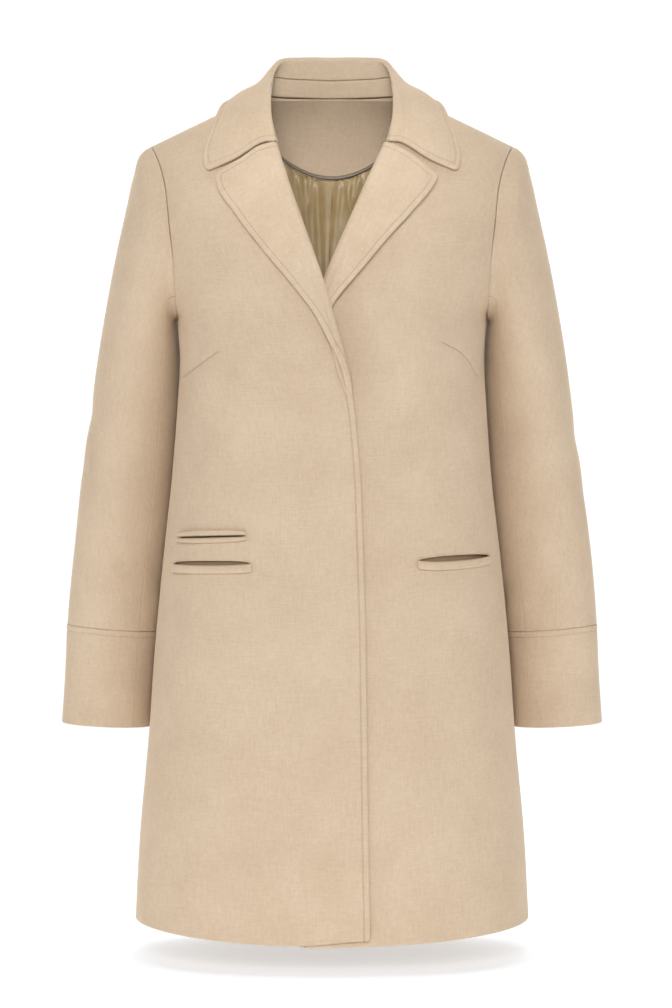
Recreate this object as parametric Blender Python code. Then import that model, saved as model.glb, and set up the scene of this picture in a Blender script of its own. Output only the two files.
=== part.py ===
"""A thigh-length single-breasted wool overcoat, filled out as worn, with nobody in it.

Metres, +Z up, the front towards -Y. The origin is at the nape, between the shoulders. The cloth is
a thin wall: every panel is a grid of points read from the tables of sizes below, with a second grid
inside it and a rim that joins the two.
"""

import math
from collections import namedtuple

import bmesh
import bpy
import numpy as np

# ---------------------------------------------------------------- driving dimensions, in metres
GAP = 0.0003  # between pieces that meet at a seam
COAT_WALL = 0.0024  # felted wool with its interlining
STAND_WALL = 0.0020  # of the collar's stand
EDGE_WALL = 0.0034  # collar and lapels: two layers, pressed
LINING_WALL = 0.0010  # satin
SECTION_POWER = 2.5  # 2 would make the body's sections ellipses
HEM_Z = -0.903  # at the middle, front and back
HEM_RISE = 0.013  # to the side seams
ARMPIT_Z = -0.252
SHOULDER_X = 0.1938
SHOULDER_Z = -0.0655
SHOULDER_SLOPE = 0.485  # fall of the shoulder line for each metre outwards
RIDGE_ROUND = 0.020  # radius that rounds the shoulder line off across the neck
ARCH = 0.090  # radius of the arch over the shoulder
NECK_X = 0.075  # half width of the neck seam at the shoulder line
NECK_BACK_Z = -0.0052  # the neck seam at the centre back
NECK_FRONT_Z = -0.009
ARMHOLE_DEPTH = 0.070  # half depth of the armhole, front to back
ARMHOLE_ROUND = 0.060  # height over which its lower end rounds in
BUST_X, BUST_Z, BUST_RISE, BUST_REACH = 0.088, -0.285, 0.006, 0.055
LAPEL_BREAK_Z = -0.335  # the lapel begins to turn here
LAPEL_SETBACK = 0.0046  # the front's own edge lies this far behind the lapel's fold
SETBACK_REACH, SETBACK_BEFORE = 0.030, 0.3  # it comes in over this height, a share of it below the break
FACING_DEPTH = 0.0884  # of the back neck facing, down the centre
FACING_RISE = 7.07  # its lower edge climbs this much for each square metre of x
PIPING_WIDTH = 0.0027
LINING_DROP = 0.0009  # the lining starts this far below the piping
LINING_TOP, FACING_TOP = 0.12, 0.04  # how far short of the shoulder and neck seams they end, in rows
INSIDE_LOOSE = 0.0030  # how far facing, piping and lining hang inside the back
FACING_WALL, PIPING_WALL = 0.0016, 0.0024
FACING_STEPS, LINING_STEPS = 4, 5  # rows of the facing, and of the lining above the armpit
LINING_ROWS = (0.75, 2, 4, 6, 8, 10)  # its lower rows, as places among LOW_ROWS
FACING_COLUMNS = (0, 0.5, 1, 1.5, 2, 2.5, 3, 3.4, 3.8)

# ---------------------------------------------------------------- how finely the cloth is cut up
PANEL_STEPS = 8  # columns from the front edge to the side
ARMHOLE_STEPS = 9  # rows from the armpit to the shoulder, on the front and again on the back
LOW_ROWS = (HEM_Z, -0.86, -0.80, -0.73, -0.66, -0.59, -0.52, -0.455, -0.395, -0.345, -0.30, -0.272)

# ---------------------------------------------------------------- tables of sizes
Level = namedtuple("Level", "z half_width front back")
BODY = (  # a row for each height of the body: half the width, and the depth before and behind
    Level(-0.903, 0.2110, 0.152, 0.150),
    Level(-0.800, 0.2055, 0.147, 0.142),
    Level(-0.700, 0.1965, 0.142, 0.134),
    Level(-0.600, 0.1895, 0.137, 0.123),
    Level(-0.500, 0.1800, 0.132, 0.110),
    Level(-0.420, 0.1715, 0.130, 0.103),
    Level(-0.350, 0.1660, 0.130, 0.105),
    Level(-0.300, 0.1634, 0.130, 0.109),
    Level(-0.252, 0.1656, 0.128, 0.112),
    Level(-0.200, 0.1656, 0.122, 0.113),
    Level(-0.150, 0.1656, 0.113, 0.110),
    Level(-0.100, 0.1656, 0.101, 0.103),
    Level(-0.050, 0.1656, 0.087, 0.094),
    Level(0.000, 0.1656, 0.074, 0.090),
    Level(0.040, 0.1656, 0.070, 0.085),
)

Armhole = namedtuple("Armhole", "z x")
ARMHOLE = (  # the armhole seam from the front, upwards
    Armhole(-0.252, 0.1656),
    Armhole(-0.240, 0.1654),
    Armhole(-0.211, 0.1660),
    Armhole(-0.154, 0.1712),
    Armhole(-0.104, 0.1780),
    Armhole(-0.080, 0.1862),
    Armhole(-0.0655, 0.1938),
)

Edge = namedtuple("Edge", "z right left")
FRONT_EDGE = (  # each front's fold, then its closing edge: how far it lies on its own side of the middle
    Edge(-0.0090, 0.0750, 0.0750),
    Edge(-0.0450, 0.0650, 0.0640),
    Edge(-0.0715, 0.0595, 0.0565),
    Edge(-0.1148, 0.0465, 0.0372),
    Edge(-0.1626, 0.0300, 0.0165),
    Edge(-0.2174, 0.0110, -0.0072),
    Edge(-0.2711, -0.0047, -0.0210),
    Edge(-0.3262, -0.0191, -0.0285),
    Edge(-0.4020, -0.0282, -0.0300),
    Edge(-0.4963, -0.0324, -0.0310),
    Edge(-0.7926, -0.0376, -0.0330),
    Edge(-0.8970, -0.0393, -0.0340),
)

Under = namedtuple("Under", "z depth")
UNDERLAP = (  # how far the left front lies behind the right one at the middle
    Under(-0.060, 0.0),
    Under(-0.120, 0.0006),
    Under(-0.190, 0.0090),
    Under(-0.330, 0.0090),
    Under(-0.400, 0.0040),
    Under(-0.460, 0.0038),
    Under(-0.600, 0.0038),
    Under(-0.897, 0.0038),
)
UNDERLAP_MARGIN, UNDERLAP_REACH = 0.005, 0.045  # past the upper front's edge: full, then fading out

Ring = namedtuple("Ring", "out_x out_z in_x in_z depth middle_y bow power skew")
SLEEVE = (  # a ring for each row: outer and inner points, half depth, middle's bow in, and its back's turn in
    Ring(0.1985, -0.0685, 0.1680, -0.2508, 0.0715, 0.000, 0.0085, 0.80, 0.001),
    Ring(0.2050, -0.0745, 0.1698, -0.2550, 0.0725, 0.001, 0.0060, 0.82, 0.003),
    Ring(0.2113, -0.0950, 0.1687, -0.2660, 0.0725, 0.005, 0.0035, 0.86, 0.006),
    Ring(0.2190, -0.1300, 0.1668, -0.2830, 0.0710, 0.009, 0.0015, 0.90, 0.008),
    Ring(0.2292, -0.1750, 0.1664, -0.3040, 0.0685, 0.013, 0.0, 0.94, 0.009),
    Ring(0.2396, -0.2250, 0.1662, -0.3310, 0.0655, 0.017, 0.0, 1.00, 0.009),
    Ring(0.2503, -0.2880, 0.1680, -0.3680, 0.0615, 0.020, 0.0, 1.00, 0.010),
    Ring(0.2593, -0.3500, 0.1708, -0.4080, 0.0585, 0.022, 0.0, 1.00, 0.010),
    Ring(0.2701, -0.4230, 0.1756, -0.4590, 0.0555, 0.023, 0.0, 1.00, 0.010),
    Ring(0.2789, -0.5000, 0.1823, -0.5200, 0.0520, 0.024, 0.0, 1.00, 0.010),
    Ring(0.2848, -0.5780, 0.1888, -0.5870, 0.0490, 0.024, 0.0, 1.00, 0.010),
    Ring(0.2873, -0.6300, 0.1930, -0.6380, 0.0470, 0.024, 0.0, 1.00, 0.009),
    Ring(0.2909, -0.6840, 0.1966, -0.6900, 0.0455, 0.024, 0.0, 1.00, 0.009),
)
CUFF_RING = 11  # the cuff seam: the armhole seam is ring 0, and the table's rows follow it
FRONT_SEAM_STEP = 2  # the sleeve's front seam, in steps round from the armpit
BACK_SEAM_STEP = -4
ARMHOLE_GAPS = 5  # the sleeve is drawn in this many times as far at the curved armhole seam

Turned = namedtuple("Turned", "x z")
LAPEL_EDGE = {  # the lapel's outer edge, from its tip down to the break
    "right": (
        Turned(0.1185, -0.1050),
        Turned(0.1190, -0.1140),
        Turned(0.1000, -0.1480),
        Turned(0.0735, -0.1840),
        Turned(0.0452, -0.2190),
        Turned(0.0175, -0.2560),
        Turned(-0.0080, -0.3020),
        Turned(-0.0100, -0.3120),
    ),
    "left": (
        Turned(0.1095, -0.1095),
        Turned(0.1045, -0.1190),
        Turned(0.0815, -0.1480),
        Turned(0.0560, -0.1770),
        Turned(0.0300, -0.2090),
        Turned(0.0000, -0.2450),
        Turned(-0.0150, -0.2900),
        Turned(-0.0190, -0.3120),
    ),
}
LAPEL_TOP = {  # the lapel's top edge, from the fold along the gorge to the tip
    "right": (
        Turned(0.0595, -0.0735),
        Turned(0.0760, -0.0795),
        Turned(0.0920, -0.0915),
        Turned(0.1185, -0.1050),
    ),
    "left": (
        Turned(0.0555, -0.0745),
        Turned(0.0730, -0.0835),
        Turned(0.0900, -0.0960),
        Turned(0.1095, -0.1095),
    ),
}
LAPEL_ROWS = (0.0, 0.05, 0.15, 0.28, 0.42, 0.56, 0.70, 0.84, 1.0)
LAPEL_STEPS = 5
LAPEL_LEAST_WIDTH = 0.008
LAPEL_EASE = {"right": 0.0007, "left": 0.0030}  # how far the lapel stands clear of the front
LAPEL_PUFF, LAPEL_PUFF_WIDTH = 0.0022, 0.050  # its middle swells this much, where it is this wide
LAPEL_ROUND = 0.0012  # the fold's outer round stands this far over the front's face
LAPEL_TURN = (0.0004, -0.0010)  # x of the fold's two columns inside, from the fold

Neck = namedtuple("Neck", "at x y z")
NECK_SHOULDER_AT = 0.5  # where the neck seam crosses the shoulder line: the centre back is 0, the gorge 1
NECK_GORGE_Z = -0.0715
ROLL_LINE = (  # the collar's turned edge round the neck
    Neck(0.0, 0.0000, 0.0530, 0.0395),
    Neck(0.2, 0.0310, 0.0495, 0.0390),
    Neck(0.35, 0.0530, 0.0390, 0.0350),
    Neck(0.45, 0.0600, 0.0180, 0.0235),
    Neck(0.6, 0.0630, -0.0100, 0.0055),
    Neck(0.75, 0.0648, -0.0500, -0.0170),
    Neck(0.9, 0.0635, -0.0810, -0.0480),
    Neck(1.0, 0.0597, -0.0950, -0.0704),
)
Fall = namedtuple("Fall", "at x v rise")
COLLAR_EDGE = (  # its outer edge on the coat: x, and how far over the shoulder line (front negative)
    Fall(0.0, 0.0000, 0.0990, 0.006),
    Fall(0.2, 0.0450, 0.0829, 0.006),
    Fall(0.4, 0.0880, 0.0547, 0.007),
    Fall(0.52, 0.1000, 0.0316, 0.008),
    Fall(0.62, 0.1100, 0.0000, 0.008),
    Fall(0.8, 0.1230, -0.0640, 0.008),
    Fall(0.93, 0.1330, -0.1030, 0.007),
    Fall(1.0, 0.1300, -0.1200, 0.006),
)
COLLAR_STEPS = 16  # stations from the centre back to the gorge, on each side
STAND_INSET = 0.0010  # the stand's foot lies this far inside the neckline
COLLAR_BULGE = 0.0045  # of the collar's fall, half way down
COLLAR_DIP, COLLAR_DIP_FROM = 0.0045, 0.8  # its end edge bows down this far, from this share of its length
Joint = namedtuple("Joint", "at share gap")
STAND_JOINT = (  # how far up to the fold the stand reaches before the leaf is sewn to it, and the gap between
    Joint(0.00, 0.44, 0.0008),
    Joint(0.25, 0.465, 0.0008),
    Joint(0.45, 0.50, 0.0009),
    Joint(0.60, 0.16, 0.0016),
    Joint(0.75, 0.16, 0.0025),
    Joint(0.88, 0.16, 0.0018),
    Joint(1.00, 0.16, 0.0003),
)
FOLD_WIDTH, FOLD_WIDTH_GORGE = 0.0105, 0.0092  # across the collar's fold: round the back, and at the gorge
FOLD_FLATTENS = 0.25  # the share of the collar over which the fold flattens towards the gorge
FOLD_CREST, FOLD_ROLL, FOLD_DROP = 0.0008, 0.0020, 0.0025  # its top, and its inner and outer shoulders
LEAF_RISE = 0.6  # a row of the leaf lies this far from the joint up to the fold

Opening = namedtuple("Opening", "side x_inner x_outer z_top z_bottom")
SLITS = {  # what is cut out of each front for a pocket
    "ticket": Opening("right", 0.0920, 0.1560, -0.4785, -0.4870),
    "pocket_right": Opening("right", 0.0850, 0.1640, -0.5075, -0.5170),
    "pocket_left": Opening("left", 0.0910, 0.1620, -0.5045, -0.5140),
}
Lip = namedtuple("Lip", "slit x_inner x_outer z_top z_bottom")
LIPS = {  # the strips of cloth that edge the slits
    "ticket_lip_upper": Lip("ticket", 0.0875, 0.1605, -0.4738, -0.4820),
    "ticket_lip_lower": Lip("ticket", 0.0875, 0.1605, -0.4840, -0.4915),
    "pocket_welt_right": Lip("pocket_right", 0.0800, 0.1685, -0.5125, -0.5228),
    "pocket_welt_left": Lip("pocket_left", 0.0870, 0.1660, -0.5095, -0.5198),
}
LIP_WALL, LIP_ROUND, LIP_EASE = 0.0030, 0.0008, 0.0009  # thickness, edges thinned, and clear of the front
STRIP_STEPS = 8
BACKING_MARGIN_X, BACKING_ABOVE, BACKING_BELOW = 0.006, 0.006, 0.012
LOOSE = 0.0016  # what lies inside a panel hangs this far from it
CUTTER_REACH_Y = (-0.170, -0.040)


def materials():
    """The cloths: camel wool, the darker wool inside the neck, satin, piping and pocket cloth."""
    cloths = {
        "wool": ((0.66, 0.51, 0.34), 0.92),
        "wool_inside": ((0.58, 0.43, 0.27), 0.92),
        "satin": ((0.45, 0.34, 0.15), 0.38),
        "piping": ((0.20, 0.17, 0.18), 0.60),
        "pocket_cloth": ((0.36, 0.25, 0.14), 0.85),
    }
    made = {}
    for name, (colour, roughness) in cloths.items():
        material = bpy.data.materials.new(name)
        material.use_nodes = True
        shader = material.node_tree.nodes["Principled BSDF"]
        shader.inputs["Base Color"].default_value = (*colour, 1)
        shader.inputs["Roughness"].default_value = roughness
        shader.inputs["Metallic"].default_value = 0
        made[name] = material
    return made


# ---------------------------------------------------------------- reading the tables
def read(table, key, value, at):
    """A smooth curve through one column of a table, read at any place of another column."""
    keys = np.array([getattr(row, key) for row in table])
    values = np.array([getattr(row, value) for row in table])
    order = np.argsort(keys)
    keys, values = keys[order], values[order]
    slope = np.gradient(values, keys)
    at = np.clip(at, keys[0], keys[-1])
    i = np.clip(np.searchsorted(keys, at) - 1, 0, len(keys) - 2)
    span = keys[i + 1] - keys[i]
    f = (at - keys[i]) / span
    start = (2 * f**3 - 3 * f**2 + 1) * values[i] + (f**3 - 2 * f**2 + f) * span * slope[i]
    end = (3 * f**2 - 2 * f**3) * values[i + 1] + (f**3 - f**2) * span * slope[i + 1]
    return start + end


def unit(vectors):
    return vectors / np.maximum(np.linalg.norm(vectors, axis=-1, keepdims=True), 1e-12)


def smooth_step(f):
    f = np.clip(f, 0, 1)
    return f * f * (3 - 2 * f)


# ---------------------------------------------------------------- the coat's outer face
def ridge(x):
    """Height of the shoulder line, rounded off across the neck."""
    top = SHOULDER_Z + math.hypot(SHOULDER_X, RIDGE_ROUND) * SHOULDER_SLOPE
    return top - np.hypot(x, RIDGE_ROUND) * SHOULDER_SLOPE


def armhole_side(z):
    """Half depth of the armhole at a height, before the shoulder's arch closes it."""
    up = np.clip((z - ARMPIT_Z) / ARMHOLE_ROUND, 0, 1)
    return ARMHOLE_DEPTH * np.sqrt(1 - (1 - up) ** 2)


def depth(x, z, front):
    """How far the cloth stands from the plane of the side seams, before the arch."""
    middle = np.where(front, read(BODY, "z", "front", z), read(BODY, "z", "back", z))
    side = np.minimum(armhole_side(z) / middle, 0.97)
    above = read(ARMHOLE, "z", "x", z) / (1 - side**SECTION_POWER) ** (1 / SECTION_POWER)
    half_width = np.where(z > ARMPIT_Z, above, read(BODY, "z", "half_width", z))
    across = np.clip(np.abs(x) / half_width, 0, 1)
    bust = BUST_RISE * np.exp(-(((np.abs(x) - BUST_X) / BUST_REACH) ** 2) - ((z - BUST_Z) / BUST_REACH) ** 2)
    return (1 - across**SECTION_POWER) ** (1 / SECTION_POWER) * (middle + np.where(front, bust, 0))


def coat(x, v):
    """A point of the outer face, v metres over the shoulder line (towards the front negative)."""
    along = np.abs(v)
    turn = np.minimum(along / ARCH, math.pi / 2)
    z = ridge(x) - ARCH * (1 - np.cos(turn)) - np.maximum(along - ARCH * math.pi / 2, 0)
    y = np.where(v < 0, -1, 1) * depth(x, z, v < 0) * np.sin(turn)
    return np.stack(np.broadcast_arrays(x, y, z), axis=-1)


def over_shoulder(x, z):
    """The distance from the shoulder line down to a height, for coat()."""
    drop = np.maximum(ridge(x) - z, 0)
    return ARCH * np.arccos(1 - np.minimum(drop / ARCH, 1)) + np.maximum(drop - ARCH, 0)


def neckline(x):
    """How far behind the shoulder line the back's neckline runs. Its ends rise to the shoulder line."""
    across = np.minimum(np.abs(x) / NECK_X, 1)
    height = NECK_BACK_Z + (ridge(NECK_X) - NECK_BACK_Z) * across**2
    return np.where(across < 1, over_shoulder(x, height), 0)


def lifted(x, v, lift):
    """A point of the outer face, moved out along its normal."""
    step = 0.0005
    here = coat(x, v)
    normal = unit(np.cross(coat(x + step, v) - coat(x - step, v), coat(x, v + step) - coat(x, v - step)))
    return here + normal * np.asarray(lift)[..., None]


def underlap(side, x, z):
    """How far a front lies back where the other front laps over it."""
    if side == "right":
        return np.zeros(np.broadcast(x, z).shape)
    full = UNDERLAP_MARGIN - read(FRONT_EDGE, "z", "right", z)
    near = smooth_step(1 - (x - full) / UNDERLAP_REACH)
    return near * read(UNDERLAP, "z", "depth", z)


def on_front(side, x, z, lift):
    return lifted(x, -over_shoulder(x, z), lift - underlap(side, x, z))


# ---------------------------------------------------------------- grids and walls
def normals(grid, wrap=False):
    """Unit normals of a grid, from its neighbours. A tube's columns wrap round."""
    down = np.gradient(grid, axis=0)
    if wrap:
        across = np.roll(grid, -1, axis=1) - np.roll(grid, 1, axis=1)
    else:
        across = np.gradient(grid, axis=1)
    return unit(np.cross(down, across))


def drawn_in(grids, seams):
    """Draws the named edges of grids back by half a seam's gap, all along the first grid's own lines."""
    first = grids[0]
    moved = [grid.copy() for grid in grids]
    for seam in seams:
        edge, beside = {
            "first_row": (np.s_[0], np.s_[1]),
            "last_row": (np.s_[-1], np.s_[-2]),
            "first_column": (np.s_[:, 0], np.s_[:, 1]),
            "last_column": (np.s_[:, -1], np.s_[:, -2]),
        }[seam]
        inwards = unit(first[beside] - first[edge]) * GAP / 2
        for grid in moved:
            grid[edge] = grid[edge] + inwards
    return moved


def solid(name, outer, inner, material):
    """A closed wall between two grids of the same size."""
    rows, columns = outer.shape[:2]
    count = rows * columns
    corner = np.arange(count).reshape(rows, columns)
    points = np.concatenate([outer.reshape(-1, 3), inner.reshape(-1, 3)])
    faces = []
    for i in range(rows - 1):
        for j in range(columns - 1):
            ends = corner[i, j], corner[i, j + 1], corner[i + 1, j + 1], corner[i + 1, j]
            a, b, c, d = (int(end) for end in ends)
            # Both skins are cut along the same diagonal, so they can't cross where the cloth is thin.
            first = np.linalg.norm(points[a] - points[c]) <= np.linalg.norm(points[b] - points[d])
            for three in ((a, b, c), (a, c, d)) if first else ((a, b, d), (b, c, d)):
                faces.append(three)
                faces.append([end + count for end in reversed(three)])
    rim = [*corner[0], *corner[1:, -1], *corner[-1, -2::-1], *corner[-2:0:-1, 0]]
    for a, b in zip(rim, rim[1:] + rim[:1]):
        faces.append([int(b), int(a), int(a) + count, int(b) + count])
    mesh = bpy.data.meshes.new(name)
    mesh.from_pydata(points.tolist(), [], faces)
    shape = bmesh.new()
    shape.from_mesh(mesh)
    bmesh.ops.recalc_face_normals(shape, faces=shape.faces)
    shape.to_mesh(mesh)
    shape.free()
    mesh.shade_smooth()
    mesh.set_sharp_from_angle(angle=math.radians(40))
    mesh.materials.append(material)
    made = bpy.data.objects.new(name, mesh)
    bpy.context.scene.collection.objects.link(made)
    return made


def to_side(side, grid):
    """Points are worked out on the wearer's left, at +X, and the right ones mirrored."""
    return grid * (np.array([-1, 1, 1]) if side == "right" else 1)


def even_shares(points, steps):
    """Where a line of points is cut to give steps of equal length, as fractional places in it."""
    lengths = np.linalg.norm(np.diff(points, axis=0), axis=1)
    along = np.concatenate([[0], np.cumsum(lengths)])
    return np.interp(np.linspace(0, along[-1], steps + 1), along, np.arange(len(points)))


# ---------------------------------------------------------------- fronts and back
def armhole(front):
    """Heights and x of even steps up the armhole seam, from the armpit to the shoulder point."""
    fine = ARMPIT_Z + (SHOULDER_Z - ARMPIT_Z) * (1 - np.cos(np.linspace(0, math.pi, 200))) / 2
    x = read(ARMHOLE, "z", "x", fine)
    points = coat(x, over_shoulder(x, fine) * (-1 if front else 1))
    points[0, 1] = 0
    z = np.interp(even_shares(points, ARMHOLE_STEPS), np.arange(len(fine)), fine)
    return z, read(ARMHOLE, "z", "x", z)


def body_grid(front, side=None):
    """The outer points of a front, or of the back's left half, and how far it lies back."""
    share = np.sin(np.linspace(0, math.pi / 2, PANEL_STEPS + 1))
    low_z = np.array(LOW_ROWS)[:, None]
    arm_z, arm_x = armhole(front)
    sign = -1 if front else 1
    low_v = over_shoulder(arm_x[0], ARMPIT_Z)
    arm_v = over_shoulder(arm_x, arm_z)
    climb = 1 - arm_v / low_v
    even = share + (np.linspace(0, 1, PANEL_STEPS + 1) - share) * climb[:, None]
    if front:
        setback = LAPEL_SETBACK
        edge_z = ARMPIT_Z + (NECK_FRONT_Z - ARMPIT_Z) * climb
        edge_x = read(FRONT_EDGE, "z", side, edge_z) + setback
        low_edge = read(FRONT_EDGE, "z", side, low_z)
        low_edge = low_edge + setback * smooth_step((low_z - LAPEL_BREAK_Z) / SETBACK_REACH + SETBACK_BEFORE)
        edge_v = over_shoulder(edge_x, edge_z)
        x = edge_x[:, None] + (arm_x - edge_x)[:, None] * even
        v = edge_v[:, None] + (arm_v - edge_v)[:, None] * even
    else:
        low_edge = np.zeros_like(low_z)
        x = arm_x[:, None] * even
        top_v = neckline(x[-1])
        bottom_v = over_shoulder(x[0], ARMPIT_Z)
        v = bottom_v + (top_v - bottom_v) * climb[:, None]
    low_x = low_edge + (read(BODY, "z", "half_width", low_z) - low_edge) * share
    low_z = low_z + np.where(low_z == HEM_Z, HEM_RISE, 0) * share**2
    low = coat(low_x, sign * over_shoulder(low_x, low_z))
    high = coat(x, sign * v)
    return np.concatenate([low, high])


def flat_seam(grid, front):
    """Keeps a front before, and the back behind, the plane of the side and shoulder seams."""
    kept = grid.copy()
    if front:
        kept[..., 1] = np.minimum(kept[..., 1], -GAP / 2)
    else:
        kept[..., 1] = np.maximum(kept[..., 1], GAP / 2)
    return kept


def seam_normals(normal, across_middle=False):
    """Normals that lie in the plane of the side seam and of the shoulder seam, along those seams."""
    low = len(LOW_ROWS)
    out = normal.copy()
    out[: low + 1, -1, 1] = 0
    if across_middle:
        out[:, 0, 0] = 0
    else:
        out[-1, :, 1] = 0
    return unit(out)


def sleeve_grid(loop):
    """Rings from the armhole loop down to the cuff's end. Each starts and ends at the inner side."""
    turn = np.linspace(0, 2 * math.pi, 2 * ARMHOLE_STEPS, endpoint=False)
    rings = [loop]
    for ring in SLEEVE:
        middle = np.array([ring.out_x + ring.in_x, 2 * ring.middle_y, ring.out_z + ring.in_z]) / 2
        reach = np.array([ring.out_x - ring.in_x, 0, ring.out_z - ring.in_z]) / 2
        swell = np.sign(np.sin(turn)) * np.abs(np.sin(turn)) ** ring.power
        points = middle - np.cos(turn)[:, None] * reach
        points[:, 1] -= ring.depth * swell
        points[:, 0] += ring.skew * np.sin(turn) - ring.bow * np.sin(turn) ** 2
        rings.append(points)
    return np.array(rings)


def build_body(cloth):
    """The two fronts, the back, and each sleeve with its cuff, which share the armhole seam."""
    low = len(LOW_ROWS)
    back = body_grid(False)
    back_normal = seam_normals(normals(back), True)
    back_normal[-1] = unit(back_normal[-1] * np.where(back[-1, :, :1] > NECK_X, [1, 0, 1], [1, 1, 1]))
    fronts = {}
    for side in ("right", "left"):
        front = body_grid(True, side)
        front_normal = seam_normals(-normals(front))
        loop = np.concatenate([front[low:, -1], back[low + 1 : -1, -1][::-1]])
        loop[0, 1] = 0
        loop[ARMHOLE_STEPS, 1] = 0
        sleeve = sleeve_grid(loop)
        sleeve_normal = normals(sleeve, wrap=True)
        panel_normal = np.concatenate([front_normal[low:, -1], back_normal[low + 1 : -1, -1][::-1]])
        panel_normal[[0, ARMHOLE_STEPS], 1] = 0
        shared = unit(unit(panel_normal) + sleeve_normal[0])
        shared = shared / np.maximum((shared * unit(panel_normal)).sum(axis=1, keepdims=True), 0.6)
        sleeve_inner = sleeve - COAT_WALL * sleeve_normal
        sleeve_inner[0] = loop - COAT_WALL * shared
        front = front - front_normal * underlap(side, front[..., 0], front[..., 2])[..., None]
        front_inner = front - COAT_WALL * front_normal
        front_inner[low:, -1] = sleeve_inner[0][: ARMHOLE_STEPS + 1]
        back_edge = np.concatenate([sleeve_inner[0][:1], sleeve_inner[0][ARMHOLE_STEPS:][::-1]])
        fronts[side] = [flat_seam(grid, True) for grid in (front, front_inner)]
        build_sleeve(side, sleeve, sleeve_inner, cloth)
    back_inner = back - COAT_WALL * back_normal
    back_inner[low:, -1] = back_edge
    for side, (outer, inner) in fronts.items():
        solid(f"front_{side}", to_side(side, outer), to_side(side, inner), cloth)
    solid("back", *[flat_seam(mirrored(grid), False) for grid in (back, back_inner)], cloth)
    return back, back_normal


def build_sleeve(side, outer, inner, cloth):
    """An upper and an under sleeve, and a cuff band in two pieces on the same seams."""
    steps = 2 * ARMHOLE_STEPS
    under = np.arange(BACK_SEAM_STEP, FRONT_SEAM_STEP + 1) % steps
    upper = np.arange(FRONT_SEAM_STEP, BACK_SEAM_STEP + steps + 1) % steps
    for piece, columns in (("upper", upper), ("under", under)):
        for name, rows in (("sleeve", slice(0, CUFF_RING + 1)), ("cuff", slice(CUFF_RING, None))):
            grids = [to_side(side, grid[rows][:, columns]) for grid in (outer, inner)]
            seams = ["first_column", "last_column"]
            if name == "sleeve":
                seams += ["first_row"] * ARMHOLE_GAPS + ["last_row"]
            else:
                seams += ["first_row"]
            grids = drawn_in(grids, seams)
            solid(f"{name}_{side}_{piece}", *grids, cloth)


# ---------------------------------------------------------------- lapels, collar and neck
def through(table, steps, keys=("x", "z")):
    """Even steps along the smooth line through a table's points."""
    points = np.array([[getattr(row, key) for key in keys] for row in table])
    lengths = np.linalg.norm(np.diff(points, axis=0), axis=1)
    along = np.concatenate([[0], np.cumsum(lengths)]) / lengths.sum()
    rows = [Neck(a, *p, *([0] * (3 - len(p)))) for a, p in zip(along, points)]
    at = np.asarray(steps)
    return np.stack([read(rows, "at", key, at) for key in ("x", "y", "z")[: len(keys)]], axis=-1)


def build_lapel(side, cloth):
    """The facing, turned out over the front along the fold."""
    rows = np.array(LAPEL_ROWS)
    outer_edge = through(LAPEL_EDGE[side], rows)
    fold_z = LAPEL_TOP[side][0].z + (LAPEL_EDGE[side][-1].z - LAPEL_TOP[side][0].z) * rows
    fold = np.stack([read(FRONT_EDGE, "z", side, fold_z), fold_z], axis=-1)
    outer_edge[:, 0] = np.maximum(outer_edge[:, 0], fold[:, 0] + LAPEL_LEAST_WIDTH)
    shares = np.linspace(0, 1, LAPEL_STEPS + 1)
    top = through(LAPEL_TOP[side], shares)
    flat = fold[:, None] + (outer_edge - fold)[:, None] * shares[:, None]
    top_pull = top - flat[0]
    flat = flat + top_pull * ((1 - rows) ** 3)[:, None, None]
    width = np.linalg.norm(outer_edge - fold, axis=1)[:, None]
    puff = LAPEL_PUFF * np.sin(math.pi * shares) * np.minimum(width / LAPEL_PUFF_WIDTH, 1)
    lift = EDGE_WALL + GAP + LAPEL_EASE[side] + puff
    wrap = np.stack([flat[:, 0] + [x, 0] for x in LAPEL_TURN], axis=1)
    grid = np.concatenate([wrap, flat], axis=1)
    grid[:, 2:, 0] += np.maximum(LAPEL_ROUND - (grid[:, 2:, 0] - flat[:, :1, 0]), 0)
    turned = np.broadcast_to([-COAT_WALL, LAPEL_ROUND], (len(rows), 2))
    lifts = np.concatenate([turned, lift], axis=1)
    outer = on_front(side, grid[..., 0], grid[..., 1], lifts)
    inner_x = grid[..., 0].copy()
    inner_x[:, :2] += EDGE_WALL * 0.9  # the wall runs across the fold here, not outwards
    inner_x[:, 2] += EDGE_WALL * 0.55
    inner_x = np.maximum.accumulate(inner_x, axis=1)
    inner_lift = lifts - EDGE_WALL
    inner_lift[:, 0] = -COAT_WALL
    inner_lift[:, 1] = -GAP
    inner_lift[:, 2] = np.maximum(inner_lift[:, 2], GAP)
    inner = on_front(side, inner_x, grid[..., 1], inner_lift)
    solid(f"lapel_{side}", *[to_side(side, g) for g in (outer, inner)], cloth)


def neck_line(table, at):
    return np.stack([read(table, "at", key, at) for key in ("x", "y", "z")], axis=-1)


def neck_seam(at):
    """The neck seam, round the back and down each front to the gorge, on the coat's outer face."""
    turn = np.clip(at / NECK_SHOULDER_AT, 0, 1) * math.pi / 2
    behind = coat(NECK_X * np.sin(turn), neckline(NECK_X * np.sin(turn)))
    z = NECK_FRONT_Z + (NECK_GORGE_Z - NECK_FRONT_Z) * (at - NECK_SHOULDER_AT) / (1 - NECK_SHOULDER_AT)
    x = read(FRONT_EDGE, "z", "left", z)
    before = coat(x, -over_shoulder(x, z))
    return np.where(at[:, None] > NECK_SHOULDER_AT, before, behind)


def both_sides(grid):
    """A half, from the centre back outwards, joined to its mirrored other half."""
    return np.concatenate([grid[::-1] * [-1, 1, 1], grid[1:]])


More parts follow.
